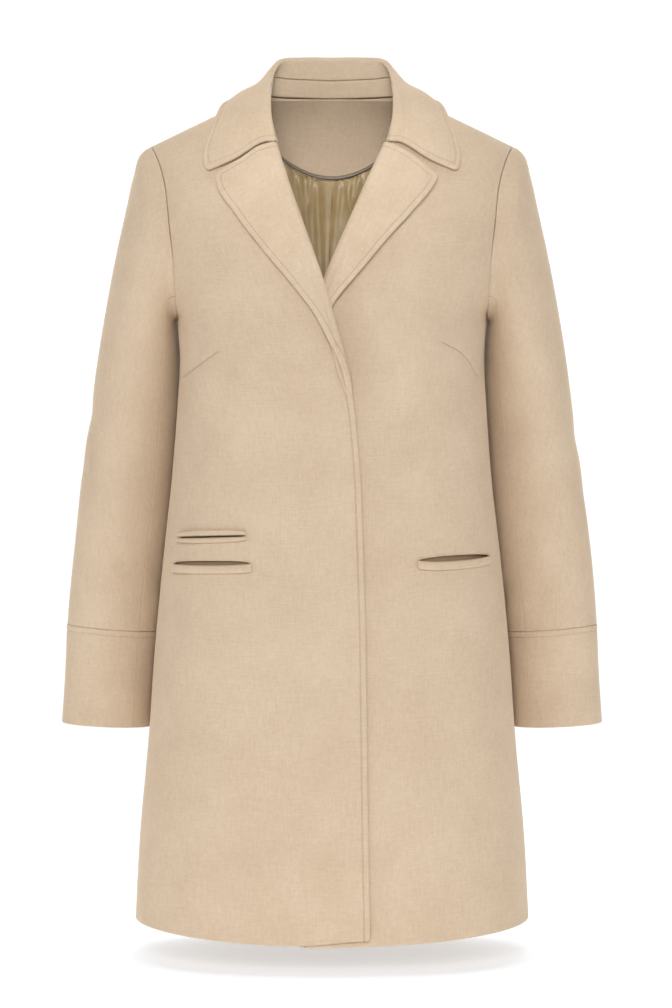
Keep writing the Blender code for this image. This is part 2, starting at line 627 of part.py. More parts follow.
def build_collar(cloth, inside):
    """The stand, and the collar leaf sewn to its top, which turns over the fold and lies on the coat."""
    at = np.linspace(0, 1, COLLAR_STEPS + 1)
    roll = neck_line(ROLL_LINE, at)
    seam = neck_seam(at)
    seam = seam - unit(seam * [1, 1, 0]) * STAND_INSET + [0, 0, 2 * GAP]
    joint = seam + (roll - seam) * read(STAND_JOINT, "at", "share", at)[:, None]
    edge = lifted(*[read(COLLAR_EDGE, "at", column, at) for column in ("x", "v", "rise")])
    out = unit((edge - roll) * [1, 1, 0])
    round_part = smooth_step((1 - at) / FOLD_FLATTENS)[:, None]
    fold = FOLD_WIDTH + (FOLD_WIDTH_GORGE - FOLD_WIDTH) * (1 - round_part)
    up = np.array([0, 0, 1]) * round_part
    crest = roll + out * fold / 2 + up * FOLD_CREST
    beyond = roll + out * fold - up * FOLD_DROP
    middle = (beyond + edge) / 2 + unit(np.cross(np.gradient(edge, axis=0), edge - roll)) * COLLAR_BULGE
    middle[:, 2] -= COLLAR_DIP * smooth_step((at - COLLAR_DIP_FROM) / (1 - COLLAR_DIP_FROM))
    rise = joint + (roll - joint) * LEAF_RISE
    apart = read(STAND_JOINT, "at", "gap", at)[:, None] / 2
    leaf_foot = joint + unit(rise - joint) * apart
    stand_top = joint - unit(joint - seam) * apart
    leaf = both_sides(np.stack([leaf_foot, rise, roll - up * FOLD_ROLL, crest, beyond, middle, edge], axis=1))
    leaf_normal = normals(leaf)
    stand = both_sides(np.stack([seam, (seam + joint) / 2, stand_top], axis=1))
    stand_normal = normals(stand)
    shared = unit(leaf_normal[:, 0] + stand_normal[:, -1])
    leaf_normal[:, 0] = shared
    stand_normal[:, -1] = shared
    leaf_wall = np.array([STAND_WALL, COAT_WALL] + [EDGE_WALL] * (leaf.shape[1] - 2))[:, None]
    for grid, normal, name, wall, material, seams in (
        (leaf, leaf_normal, "collar_leaf", leaf_wall, cloth, []),
        (stand, stand_normal, "collar_stand", STAND_WALL, inside, ["first_column"]),
    ):
        middle_row = len(grid) // 2
        if normal[middle_row, 0, 1] > 0:
            normal = -normal
        solid(name, *drawn_in([grid, grid - wall * normal], seams), material)


def mirrored(half):
    """A half, from the middle outwards in each row, with its mirrored other half before it."""
    return np.concatenate([(half * [-1, 1, 1])[:, :0:-1], half], axis=1)


def on_grid(grid, row, column):
    """A point of a grid between its rows and columns."""
    i = np.clip(np.floor(row).astype(int), 0, grid.shape[0] - 2)
    j = np.clip(np.floor(column).astype(int), 0, grid.shape[1] - 2)
    down, across = (row - i)[..., None], (column - j)[..., None]
    upper = grid[i, j] * (1 - across) + grid[i, j + 1] * across
    lower = grid[i + 1, j] * (1 - across) + grid[i + 1, j + 1] * across
    return upper * (1 - down) + lower * down


def inside_back(back, back_normal, satin, inside, piping):
    """The neck facing, the piping along its lower edge, and the lining below, on the back's own points."""
    low = len(LOW_ROWS)
    high = back[low:]
    last_row = len(high) - 1
    columns = np.array(FACING_COLUMNS)
    rows = np.linspace(0, last_row, 400)
    crossings = []
    for column in columns:
        line = on_grid(high, rows, np.full_like(rows, column))
        above = line[:, 2] + FACING_DEPTH - FACING_RISE * line[:, 0] ** 2
        edges = (-LINING_DROP, 0, PIPING_WIDTH, PIPING_WIDTH + GAP)
        crossings.append([np.interp(height, above, rows) for height in edges])
    lining_top, pipe_low, pipe_high, facing_low = np.array(crossings).T

    def wall(name, row, column, thick, material):
        row, column = np.broadcast_arrays(row + low, column)
        here = on_grid(back, row, column)
        out = unit(on_grid(back_normal, row, column))
        lifts = (COAT_WALL + INSIDE_LOOSE, COAT_WALL + INSIDE_LOOSE + thick)
        halves = [here - out * lift for lift in lifts]
        solid(name, *[mirrored(half) for half in halves], material)

    share = np.linspace(0, 1, FACING_STEPS + 1)[:, None]
    row = facing_low + (last_row - FACING_TOP - facing_low) * share
    wall("back_neck_facing", row, columns, FACING_WALL, inside)
    wall("facing_piping", np.stack([pipe_low, pipe_high]), columns, PIPING_WALL, piping)
    outer_columns = np.arange(math.ceil(columns[-1]), PANEL_STEPS)
    top = np.concatenate([lining_top, np.full(len(outer_columns), last_row - LINING_TOP)])
    share = np.linspace(0, 1, LINING_STEPS + 1)[:, None]
    below = np.array(LINING_ROWS)[:, None] - low + 0 * top
    row = np.concatenate([below, top * share])
    wall("back_lining", row, np.concatenate([columns, outer_columns]), LINING_WALL, satin)


# ---------------------------------------------------------------- pockets
def strip(name, side, x_ends, z_ends, lifts, wall, material):
    """A strip of cloth that lies along a front, made from the front's own points."""
    x = np.linspace(*x_ends, STRIP_STEPS + 1)[:, None]
    z = np.linspace(*z_ends, len(lifts))
    lift = np.array(lifts) + 0 * x
    outer = on_front(side, x + 0 * z, z + 0 * x, lift)
    inner = on_front(side, x + 0 * z, z + 0 * x, lift * 0 + np.min(lifts) - wall)
    solid(name, to_side(side, outer), to_side(side, inner), material)


def build_pockets(cloth, pocket_cloth):
    for name, slit in SLITS.items():
        front = bpy.data.objects[f"front_{slit.side}"]
        low, high = (-slit.x_outer, -slit.x_inner) if slit.side == "right" else (slit.x_inner, slit.x_outer)
        bpy.ops.mesh.primitive_cube_add(size=1)
        cutter = bpy.context.object
        cutter.name = f"cutter_{name}"
        cutter.location = ((low + high) / 2, sum(CUTTER_REACH_Y) / 2, (slit.z_top + slit.z_bottom) / 2)
        cutter.scale = (high - low, CUTTER_REACH_Y[1] - CUTTER_REACH_Y[0], slit.z_top - slit.z_bottom)
        cutter.hide_render = True
        cutter.display_type = "WIRE"
        cut = front.modifiers.new(f"slit_{name}", "BOOLEAN")
        cut.object = cutter
        cut.operation = "DIFFERENCE"
        strip(
            "ticket_backing" if name == "ticket" else name.replace("pocket_", "pocket_backing_"),
            slit.side,
            (slit.x_inner - BACKING_MARGIN_X, slit.x_outer + BACKING_MARGIN_X),
            (slit.z_top + BACKING_ABOVE, slit.z_bottom - BACKING_BELOW),
            (-COAT_WALL - LOOSE,) * 2,
            LINING_WALL,
            pocket_cloth,
        )
    for name, lip in LIPS.items():
        rise = LIP_WALL + LIP_EASE
        strip(
            name,
            SLITS[lip.slit].side,
            (lip.x_inner, lip.x_outer),
            (lip.z_top, lip.z_bottom),
            (rise - LIP_ROUND, rise, rise, rise - LIP_ROUND),
            LIP_WALL - LIP_ROUND,
            cloth,
        )


for old in list(bpy.data.objects):
    bpy.data.objects.remove(old)
cloths = materials()
back_half, back_half_normal = build_body(cloths["wool"])
for wearer_side in ("right", "left"):
    build_lapel(wearer_side, cloths["wool"])
build_collar(cloths["wool"], cloths["wool_inside"])
inside_back(back_half, back_half_normal, cloths["satin"], cloths["wool_inside"], cloths["piping"])
build_pockets(cloths["wool"], cloths["pocket_cloth"])
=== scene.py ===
"""A brushed camel wool overcoat, filled out as worn, with nobody in it. Metres, in the CAD's frame."""

import math
from collections import namedtuple

import bmesh
import bpy
import numpy as np
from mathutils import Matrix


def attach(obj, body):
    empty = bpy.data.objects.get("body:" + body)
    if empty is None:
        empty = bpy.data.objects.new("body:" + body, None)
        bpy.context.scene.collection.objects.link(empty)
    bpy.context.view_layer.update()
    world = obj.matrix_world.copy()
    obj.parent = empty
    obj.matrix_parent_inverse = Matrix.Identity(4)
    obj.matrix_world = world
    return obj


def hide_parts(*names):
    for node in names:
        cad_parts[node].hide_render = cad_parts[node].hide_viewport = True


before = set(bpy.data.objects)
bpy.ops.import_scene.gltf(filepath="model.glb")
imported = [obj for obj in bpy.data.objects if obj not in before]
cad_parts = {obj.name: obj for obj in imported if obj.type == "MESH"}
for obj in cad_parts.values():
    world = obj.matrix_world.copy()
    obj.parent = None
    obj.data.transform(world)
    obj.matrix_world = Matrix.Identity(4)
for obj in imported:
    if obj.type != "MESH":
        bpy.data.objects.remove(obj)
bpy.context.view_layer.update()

# ============================================================ the back
# One wide panel of camel wool coating, cut with a seam-free centre, from the neckline to the hem. It
# is sewn to the fronts down the sides and along the shoulders, and each armhole takes a sleeve.
GAP = 0.0003  # left between pieces at a seam
COAT_WALL = 0.0024
HEM_Z, HEM_RISE, HEM_RISE_TO = -0.903, 0.013, -0.860  # middle of the hem, its climb to the side seams
ARMPIT_Z = -0.252
SHOULDER_X, SHOULDER_Z, SHOULDER_SLOPE = 0.1938, -0.0655, 0.485
RIDGE_ROUND = 0.020
ARCH = 0.090  # the cloth arches over the shoulder on this radius
NECK_X = 0.075
NECK_BACK_Z = -0.0052
SECTION_POWER = 2.5
ARMHOLE_DEPTH, ARMHOLE_ROUND = 0.070, 0.060
BUST_X, BUST_Z, BUST_RISE, BUST_REACH = 0.088, -0.285, 0.006, 0.055


def table(columns, *rows):
    """Rows of sizes with named columns."""
    row = namedtuple("Row", columns)
    return [row(*values) for values in rows]


BODY = table(
    "z half_width front back",
    (-0.903, 0.2110, 0.152, 0.150),
    (-0.800, 0.2055, 0.147, 0.142),
    (-0.700, 0.1965, 0.142, 0.134),
    (-0.600, 0.1895, 0.137, 0.123),
    (-0.500, 0.1800, 0.132, 0.110),
    (-0.420, 0.1715, 0.130, 0.103),
    (-0.350, 0.1660, 0.130, 0.105),
    (-0.300, 0.1634, 0.130, 0.109),
    (-0.252, 0.1656, 0.128, 0.112),
    (-0.200, 0.1656, 0.122, 0.113),
    (-0.150, 0.1656, 0.113, 0.110),
    (-0.100, 0.1656, 0.101, 0.103),
    (-0.050, 0.1656, 0.087, 0.094),
    (0.000, 0.1656, 0.074, 0.090),
    (0.040, 0.1656, 0.070, 0.085),
)
ARMHOLE = table(
    "z x",
    (-0.252, 0.1656),
    (-0.240, 0.1654),
    (-0.211, 0.1660),
    (-0.154, 0.1712),
    (-0.104, 0.1780),
    (-0.080, 0.1862),
    (-0.0655, 0.1938),
)


def read(rows, key, value, at):
    """A smooth curve through one column of a table, read at any place of another column."""
    keys = np.array([getattr(row, key) for row in rows])
    values = np.array([getattr(row, value) for row in rows])
    order = np.argsort(keys)
    return spline(keys[order], values[order], at)


def spline(keys, values, at):
    """A smooth curve through values at keys. The values may be points."""
    slope = np.gradient(values, keys, axis=0)
    at = np.clip(at, keys[0], keys[-1])
    i = np.clip(np.searchsorted(keys, at) - 1, 0, len(keys) - 2)
    f, span = (at - keys[i]) / (keys[i + 1] - keys[i]), keys[i + 1] - keys[i]
    more = (...,) + (None,) * (np.ndim(values) - 1)
    start = (2 * f**3 - 3 * f**2 + 1)[more] * values[i] + ((f**3 - 2 * f**2 + f) * span)[more] * slope[i]
    end = (3 * f**2 - 2 * f**3)[more] * values[i + 1] + ((f**3 - f**2) * span)[more] * slope[i + 1]
    return start + end


def unit(vectors):
    return vectors / np.maximum(np.linalg.norm(vectors, axis=-1, keepdims=True), 1e-12)


def smooth_step(f):
    f = np.clip(f, 0, 1)
    return f * f * (3 - 2 * f)


def ridge(x):
    """Height of the shoulder line."""
    top = SHOULDER_Z + math.hypot(SHOULDER_X, RIDGE_ROUND) * SHOULDER_SLOPE
    return top - np.hypot(x, RIDGE_ROUND) * SHOULDER_SLOPE


def depth(x, z, front):
    """How far the cloth stands from the plane of the side seams, before the shoulder's arch."""
    middle = np.where(front, read(BODY, "z", "front", z), read(BODY, "z", "back", z))
    up = np.clip((z - ARMPIT_Z) / ARMHOLE_ROUND, 0, 1)
    side = np.minimum(ARMHOLE_DEPTH * np.sqrt(1 - (1 - up) ** 2) / middle, 0.97)
    above = read(ARMHOLE, "z", "x", z) / (1 - side**SECTION_POWER) ** (1 / SECTION_POWER)
    half_width = np.where(z > ARMPIT_Z, above, read(BODY, "z", "half_width", z))
    across = np.clip(np.abs(x) / half_width, 0, 1)
    apex = ((np.abs(x) - BUST_X) / BUST_REACH) ** 2 + ((z - BUST_Z) / BUST_REACH) ** 2
    bust = BUST_RISE * np.exp(-apex)
    return (1 - across**SECTION_POWER) ** (1 / SECTION_POWER) * (middle + np.where(front, bust, 0))


def coat(x, v):
    """A point of the coat's outer face, v metres over the shoulder line (negative down the front)."""
    along = np.abs(v)
    turn = np.minimum(along / ARCH, math.pi / 2)
    z = ridge(x) - ARCH * (1 - np.cos(turn)) - np.maximum(along - ARCH * math.pi / 2, 0)
    y = np.where(v < 0, -1, 1) * depth(x, z, v < 0) * np.sin(turn)
    return np.stack(np.broadcast_arrays(x, y, z), axis=-1)


def over_shoulder(x, z):
    """The distance from the shoulder line down to a height, for coat()."""
    drop = np.maximum(ridge(x) - z, 0)
    return ARCH * np.arccos(1 - np.minimum(drop / ARCH, 1)) + np.maximum(drop - ARCH, 0)


def neckline(x):
    """How far behind the shoulder line the back's neckline runs."""
    across = np.minimum(np.abs(x) / NECK_X, 1)
    height = NECK_BACK_Z + (ridge(NECK_X) - NECK_BACK_Z) * across**2
    return np.where(across < 1, over_shoulder(x, height), 0)


def lifted(x, v, lift):
    """A point of the outer face, moved out along its normal."""
    step = 0.0005
    here = coat(x, v)
    normal = unit(np.cross(coat(x + step, v) - coat(x - step, v), coat(x, v + step) - coat(x, v - step)))
    return here + normal * np.asarray(lift)[..., None]


# How closely the cloth is cut into faces: near an edge that shows, near a seam, and in the open.
EDGE_PLACES = np.array([0, 0.10, 0.35, 0.8, 1.5, 2.6, 4.0, 5.4, 6.2, 6.9, 7.8, 9.5]) * 1e-3
SEAM_PLACES = np.array([0, 0.25, 0.7, 1.4, 2.4]) * 1e-3
OPEN_STEP = 0.0042
ALL_ROUND = ("top", "bottom", "left", "right")
SEAM_ROUND = 0.0006
SEAM_GAP = 0.0001  # sewn pieces lie this close
TUCK = (  # a seam allowance, turned in under its neighbour: past the seam, and its two faces' depths
    (0.0024, 0.0030, 0.0038),
    (0.0003, 0.0029, 0.0037),
    (-0.0003, 0.0016, 0.0031),
)
STITCH_INSET = 0.0063  # the row of stitches inside an edge
STITCH_LENGTH = 0.0036


def spread(length, first, last, step=OPEN_STEP):
    """Places along a length, close together near its two ends."""
    low, high = first[-1], length - last[-1]
    middle = np.linspace(low, high, max(2, round((high - low) / step) + 1))[1:-1]
    return np.concatenate([first, middle, (length - last)[::-1]])


def arc(grid, axis):
    """Length along a grid's lines, from their first points."""
    steps = np.linalg.norm(np.diff(grid, axis=axis), axis=2)
    start = np.zeros_like(np.take(steps, [0], axis=axis))
    return np.cumsum(np.concatenate([start, steps], axis=axis), axis=axis)


def normals(grid):
    return unit(np.cross(np.gradient(grid, axis=0), np.gradient(grid, axis=1)))


def rounding(distance, radius):
    return radius * (1 - np.sqrt(1 - np.clip(1 - distance / radius, 0, 1) ** 2))


FOLD = "across down turn length width depth"


def creased(across, down, folds):
    """How far soft folds sink the cloth. A negative depth is a ridge, and turn is in degrees."""
    painted_line_shade = np.zeros_like(across)
    for fold in folds:
        angle = math.radians(fold.turn)
        x, y = across - fold.across, down - fold.down
        along = x * math.cos(angle) + y * math.sin(angle)
        off = y * math.cos(angle) - x * math.sin(angle)
        painted_line_shade += fold.depth * np.exp(-((along / fold.length) ** 2) - (off / fold.width) ** 2)
    return painted_line_shade


def sew(
    name, outer, out, wall, free=(), seams=(), tucks=(), stitched=(), puff=0.0, corners=(), folds=(), more=()
):
    """A closed cloth wall from its outer points and outward normals.

    free edges are rounded over the whole wall, and seams sink a little. tucks are (end, reach) of seams
    whose allowance lies under the neighbour. The cloth swells by puff between a stitched edge and its
    stitches. corners are (end, end, radius) of rounded points. more holds values for the material.
    """
    down, across = arc(outer, 0), arc(outer, 1)
    ends = {"top": down, "bottom": down[-1:] - down, "left": across, "right": across[:, -1:] - across}
    inward = {"top": (0, 1), "bottom": (0, -1), "left": (1, 1), "right": (1, -1)}
    cut = np.stack([across, down], axis=-1)
    for first, second, radius in corners:
        a, b = [np.clip(1 - ends[end] / radius, 0, 1) for end in (first, second)]
        shifts = [(a - a * np.sqrt(1 - b * b / 2)) * radius, (b - b * np.sqrt(1 - a * a / 2)) * radius]
        tangents = [unit(np.gradient(outer, axis=axis)) for axis in (0, 1)]
        for end, shift in zip((first, second), shifts):
            axis, sign = inward[end]
            outer = outer + tangents[axis] * (sign * shift)[..., None]
    sink_out, sink_in = np.zeros_like(down), np.zeros_like(down)
    edge = np.full_like(down, 1.0)
    run = np.zeros_like(down)
    for end in stitched:
        nearer = ends[end] < edge
        edge = np.where(nearer, ends[end], edge)
        run = np.where(nearer, across if inward[end][0] == 0 else down, run)
    half = np.broadcast_to(wall, down.shape) * 0.48
    for end in free:
        sink_out = np.maximum(sink_out, rounding(ends[end], half))
        sink_in = np.maximum(sink_in, rounding(ends[end], half))
    for end in seams:
        sink_out = np.maximum(sink_out, rounding(ends[end], SEAM_ROUND))
    sink_out -= puff * np.sin(math.pi * np.clip(edge / STITCH_INSET, 0, 1)) ** 0.7
    sink_out += puff * 0.9 * np.exp(-(((edge - STITCH_INSET) / 0.0009) ** 2))
    dent = creased(across, down, folds)
    seam = np.min([np.ones_like(down)] + [ends[end] for end in seams], axis=0)
    top = outer - out * (sink_out + dent)[..., None]
    under = outer - out * (np.broadcast_to(wall, down.shape) - sink_in + dent)[..., None]
    values = {"edge": edge, "run": run, "seam": seam, **dict(more)}
    layers = [outer, out, top, under, cut] + [v[..., None] for v in values.values()]
    for end, reach in tucks:
        axis, sign = inward[end]
        layers = [layer.swapaxes(0, axis)[::sign] for layer in layers]
        beyond = -unit(layers[0][4] - layers[0][0]) * np.reshape(reach, (-1, 1))
        places = [layers[0][0] + beyond * past for past, _, _ in TUCK]
        rows = [places, [layers[1][0]] * 3]
        rows.append([place - layers[1][0] * high for place, (_, high, _) in zip(places, TUCK)])
        rows.append([place - layers[1][0] * low for place, (_, _, low) in zip(places, TUCK)])
        rows += [[layer[0]] * 3 for layer in layers[4:]]
        layers = [np.concatenate([row, layer])[::sign].swapaxes(0, axis) for row, layer in zip(rows, layers)]
    return cloth_mesh(name, *layers[2:5], dict(zip(values, layers[5:])))


def cloth_mesh(name, top, under, cut, values):
    rows, columns = top.shape[:2]
    count = rows * columns
    c = np.arange(count).reshape(rows, columns)
    quads = np.stack([c[:-1, :-1], c[:-1, 1:], c[1:, 1:], c[1:, :-1]], axis=-1).reshape(-1, 4)
    rim = np.concatenate([c[0], c[1:, -1], c[-1, -2::-1], c[-2:0:-1, 0]])
    following = np.roll(rim, -1)
    sides = np.stack([following, rim, rim + count, following + count], axis=-1)
    faces = np.concatenate([quads, quads[:, ::-1] + count, sides])
    points = np.concatenate([top.reshape(-1, 3), under.reshape(-1, 3)])
    middle = points[quads[len(quads) // 2]]
    facing = np.cross(middle[1] - middle[0], middle[3] - middle[0]) @ (top - under)[rows // 2, columns // 2]
    if facing < 0:
        faces = faces[:, ::-1]
    mesh = bpy.data.meshes.new(name)
    mesh.from_pydata(points.tolist(), [], faces.tolist())
    corner = np.empty(len(mesh.loops), np.int32)
    mesh.loops.foreach_get("vertex_index", corner)
    flat = np.tile(cut.reshape(-1, 2), (2, 1))
    mesh.uv_layers.new(name="cut").data.foreach_set("uv", flat[corner].ravel().astype(np.float32))
    for title, value in values.items():
        layer = mesh.attributes.new(title, "FLOAT", "POINT")
        layer.data.foreach_set("value", np.tile(value.ravel(), 2).astype(np.float32))
    mesh.shade_smooth()
    piece = bpy.data.objects.new(name, mesh)
    bpy.context.scene.collection.objects.link(piece)
    return piece


def settle(piece, material, node, slot, **cut):
    """Gives a piece its cloth and its body, and hides the solid that it stands for. How its cloth was cut
    (cut) is not used.
    """
    piece.data.materials.append(material)
    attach(piece, "root")
    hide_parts(node)


def linear(code):
    """The linear colour of an sRGB hex value."""
    parts = [int(code[i : i + 2], 16) / 255 for i in (1, 3, 5)]
    return (*[p / 12.92 if p <= 0.04045 else ((p + 0.055) / 1.055) ** 2.4 for p in parts], 1)


def new_material(name, constants):
    """A material with nodes, its tree and its shader, whose own sockets hold the constants."""
    material = bpy.data.materials.new(name)
    material.use_nodes = True
    shader = material.node_tree.nodes["Principled BSDF"]
    for socket, value in constants.items():
        shader.inputs[socket].default_value = value
    return material, material.node_tree, shader


def add(tree, kind, settings=None, links=None):
    """Adds a node, with its settings and the sockets that feed it."""
    made = tree.nodes.new("ShaderNode" + kind)
    for name, value in (settings or {}).items():
        if isinstance(name, str) and name not in made.inputs:
            setattr(made, name, value)
        else:
            made.inputs[name].default_value = value
    for name, source in (links or {}).items():
        tree.links.new(source, made.inputs[name])
    return made


def wool(name, light, deep, with_dart=False):
    """Brushed wool coating: a fine plain ground under a short felted nap, so matt, mottled and soft."""
    constants = {"Roughness": 0.95, "Specular IOR Level": 0.18, "Sheen Weight": 0.35, "Sheen Roughness": 0.45}
    constants["Sheen Tint"] = linear("#F0DFC6")
    material, tree, shader = new_material(name, constants)
    place = add(tree, "TexCoord").outputs["Object"]
    grain = add(tree, "UVMap", {"uv_map": "cut"}).outputs["UV"]

    def noise(vector, size_mm, detail, stretch=(1, 1, 1)):
        scaled = add(tree, "Mapping", {"Scale": [1000 / size_mm * s for s in stretch]}, {"Vector": vector})
        settings = {"Scale": 1.0, "Detail": detail, "Roughness": 0.6}
        return add(tree, "TexNoise", settings, {"Vector": scaled.outputs[0]}).outputs[0]

    # Wear and light in the nap: broad cloudy patches, smaller flecks, and threads that show through.
    clouds = noise(place, 55, 2)
    flecks = noise(place, 5, 3)
    nap = noise(place, 1.6, 2)
    warp = noise(grain, 1.5, 1, (1, 0.07, 1))
    weft = noise(grain, 1.5, 1, (0.07, 1, 1))
    threads = add(tree, "Math", {"operation": "ADD"}, {0: warp, 1: weft}).outputs[0]
    shade = add(tree, "Value").outputs[0]
    shade.default_value = 0.5 - (0.50 + 0.40 + 0.45) * 0.5 - 0.34
    for source, weight in ((clouds, 0.50), (flecks, 0.40), (nap, 0.45), (threads, 0.34)):
        settings = {"operation": "MULTIPLY_ADD", 1: weight}
        shade = add(tree, "Math", settings, {0: source, 2: shade}).outputs[0]

    def near_line(title, reach, deep, at=0.0):
        """A soft line along the places where an attribute is near a value."""
        off = add(tree, "Attribute", {"attribute_name": title}).outputs["Fac"]
        off = add(tree, "Math", {"operation": "SUBTRACT", 1: at}, {0: off}).outputs[0]
        off = add(tree, "Math", {"operation": "ABSOLUTE"}, {0: off}).outputs[0]
        ranges = {"interpolation_type": "SMOOTHSTEP", "From Max": reach, "To Min": deep, "To Max": 0.0}
        return add(tree, "MapRange", ranges, {"Value": off}).outputs["Result"]

    # Stitches sink a narrow channel inside the edges, a little deeper at each stitch. Seams and the dart sink
    # finer lines.
    # The same lines also darken the colour: painted shade in the stitch channel, along the seams and along
    # the dart.
    channel = near_line("edge", 0.0011, 1.0, STITCH_INSET)
    run = add(tree, "Attribute", {"attribute_name": "run"}).outputs["Fac"]
    turns = add(tree, "Math", {"operation": "MULTIPLY", 1: 2 * math.pi / STITCH_LENGTH}, {0: run}).outputs[0]
    wave = add(tree, "Math", {"operation": "SINE"}, {0: turns}).outputs[0]
    wave = add(tree, "Math", {"operation": "MULTIPLY_ADD", 1: 0.22, 2: 0.78}, {0: wave}).outputs[0]
    channel = add(tree, "Math", {"operation": "MULTIPLY"}, {0: channel, 1: wave}).outputs[0]
    seam = near_line("seam", 0.0009, 0.7)
    channel = add(tree, "Math", {"operation": "MAXIMUM"}, {0: channel, 1: seam}).outputs[0]
    if with_dart:
        dart = near_line("dart", 0.0011, 1.3)
        sewn = add(tree, "Attribute", {"attribute_name": "dart_on"}).outputs["Fac"]
        dart = add(tree, "Math", {"operation": "MULTIPLY"}, {0: dart, 1: sewn}).outputs[0]
        channel = add(tree, "Math", {"operation": "MAXIMUM"}, {0: channel, 1: dart}).outputs[0]
    # Painted shade: the cloth's colour darkens along the stitch channel, the seams and the dart.
    painted_line_shade = add(tree, "Math", {"operation": "MULTIPLY", 1: -0.42}, {0: channel}).outputs[0]
    shade = add(tree, "Math", {"operation": "ADD", "use_clamp": True}, {0: shade, 1: painted_line_shade}).outputs[0]
    colours = {"data_type": "RGBA", 6: linear(deep), 7: linear(light)}
    mixed = add(tree, "Mix", colours, {0: shade}).outputs[2]
    tree.links.new(mixed, shader.inputs["Base Color"])
    height = add(tree, "Math", {"operation": "MULTIPLY_ADD", 1: 0.35}, {0: threads, 2: nap}).outputs[0]
    height = add(tree, "Math", {"operation": "MULTIPLY_ADD", 1: -2.2}, {0: channel, 2: height}).outputs[0]
    bump = add(tree, "Bump", {"Strength": 0.55, "Distance": 0.00035}, {"Height": height})
    tree.links.new(bump.outputs["Normal"], shader.inputs["Normal"])
    return material


CAMEL_LIGHT, CAMEL_DEEP = "#DCC8AE", "#BBA389"
camel = wool("brushed camel wool coating", CAMEL_LIGHT, CAMEL_DEEP)

SECTION_X, SECTION_Y = 0.21, 0.14  # half width and depth of a middle section, for spacing the columns
SIDE_TURN = 0.153  # the section turns into the side seam this sharply
LOW_LENGTH = ARMPIT_Z - HEM_Z
ARMHOLE_LENGTH = 0.235


def column_turns(first):
    """Angles from the panel's middle or front edge (0) to the side seam (a right angle)."""
    fine = np.linspace(0, math.pi / 2, 400)
    section_y = SECTION_Y * (1 - np.sin(fine) ** SECTION_POWER) ** (1 / SECTION_POWER)
    section = np.stack([SECTION_X * np.sin(fine), section_y], axis=1)
    along = np.concatenate([[0], np.cumsum(np.linalg.norm(np.diff(section, axis=0), axis=1))])
    opened = np.arange(first[-1] + OPEN_STEP, along[-1] - SEAM_PLACES[-1] - OPEN_STEP / 2, OPEN_STEP)
    near_side = math.pi / 2 - (SEAM_PLACES / SIDE_TURN) ** 1.25
    return np.concatenate([first / SECTION_X, np.interp(opened, along, fine), near_side[::-1]])


def armhole(front, shares):
    """Heights and x at shares of the armhole seam, from the armpit to the shoulder point."""
    fine = ARMPIT_Z + (SHOULDER_Z - ARMPIT_Z) * (1 - np.cos(np.linspace(0, math.pi, 200))) / 2
    x = read(ARMHOLE, "z", "x", fine)
    points = coat(x, over_shoulder(x, fine) * (-1 if front else 1))
    points[0, 1] = 0
    along = np.concatenate([[0], np.cumsum(np.linalg.norm(np.diff(points, axis=0), axis=1))])
    z = np.interp(shares * along[-1], along, fine)
    return z, read(ARMHOLE, "z", "x", z)


def body_points(sign, turns, edge_x=None, edge_top_z=0.0):
    """A panel's outer points, hem first, and how many rows lie below the armpit."""
    share = np.sin(turns)
    low_z = (HEM_Z + spread(LOW_LENGTH, EDGE_PLACES, np.array([OPEN_STEP])))[:, None]
    arm_share = np.linspace(0, 1, round(ARMHOLE_LENGTH / OPEN_STEP) + 1)
    arm_share = np.concatenate([arm_share[:-1], 1 - SEAM_PLACES[:0:-1] / ARMHOLE_LENGTH, [1]])
    arm_share = np.unique(arm_share)
    arm_z, arm_x = armhole(sign < 0, arm_share)
    arm_v = over_shoulder(arm_x, arm_z)
    climb = 1 - arm_v / over_shoulder(arm_x[0], ARMPIT_Z)
    even = share + (turns / (math.pi / 2) - share) * climb[:, None]
    if edge_x is None:
        low_edge = np.zeros_like(low_z)
        x = arm_x[:, None] * even
        top = neckline(x[-1])
        bottom = over_shoulder(x[0], ARMPIT_Z)
        v = bottom + (top - bottom) * climb[:, None]
    else:
        low_edge = edge_x(low_z)
        edge_z = ARMPIT_Z + (edge_top_z - ARMPIT_Z) * climb
        start_x = edge_x(edge_z)
        start_v = over_shoulder(start_x, edge_z)
        x = start_x[:, None] + (arm_x - start_x)[:, None] * even
        v = start_v[:, None] + (arm_v - start_v)[:, None] * even
        v = v + (over_shoulder(x[0], ARMPIT_Z) - v[0]) * (1 - climb[:, None]) ** 2
    low_z = low_z + HEM_RISE * share**2 * np.clip((HEM_RISE_TO - low_z) / (HEM_RISE_TO - HEM_Z), 0, 1)
    low_x = low_edge + (read(BODY, "z", "half_width", low_z) - low_edge) * share
    low = coat(low_x, sign * over_shoulder(low_x, low_z))
    return np.concatenate([low, coat(x, sign * v)]), len(low)


def body_normals(grid, low, sign, middle):
    """Outward normals, level across the side seams, and across the centre back or the shoulder seam."""
    out = normals(grid) * sign
    out[: low + 1, -1, 1] = 0
    if middle:
        out[:, 0, 0] = 0
    else:
        out[-1, :, 1] = 0
    return unit(out)


def mirrored(half):
    """A half, from the middle outwards in each row, after its mirrored other half."""
    return np.concatenate([(half * [-1, 1, 1])[:, :0:-1], half], axis=1)


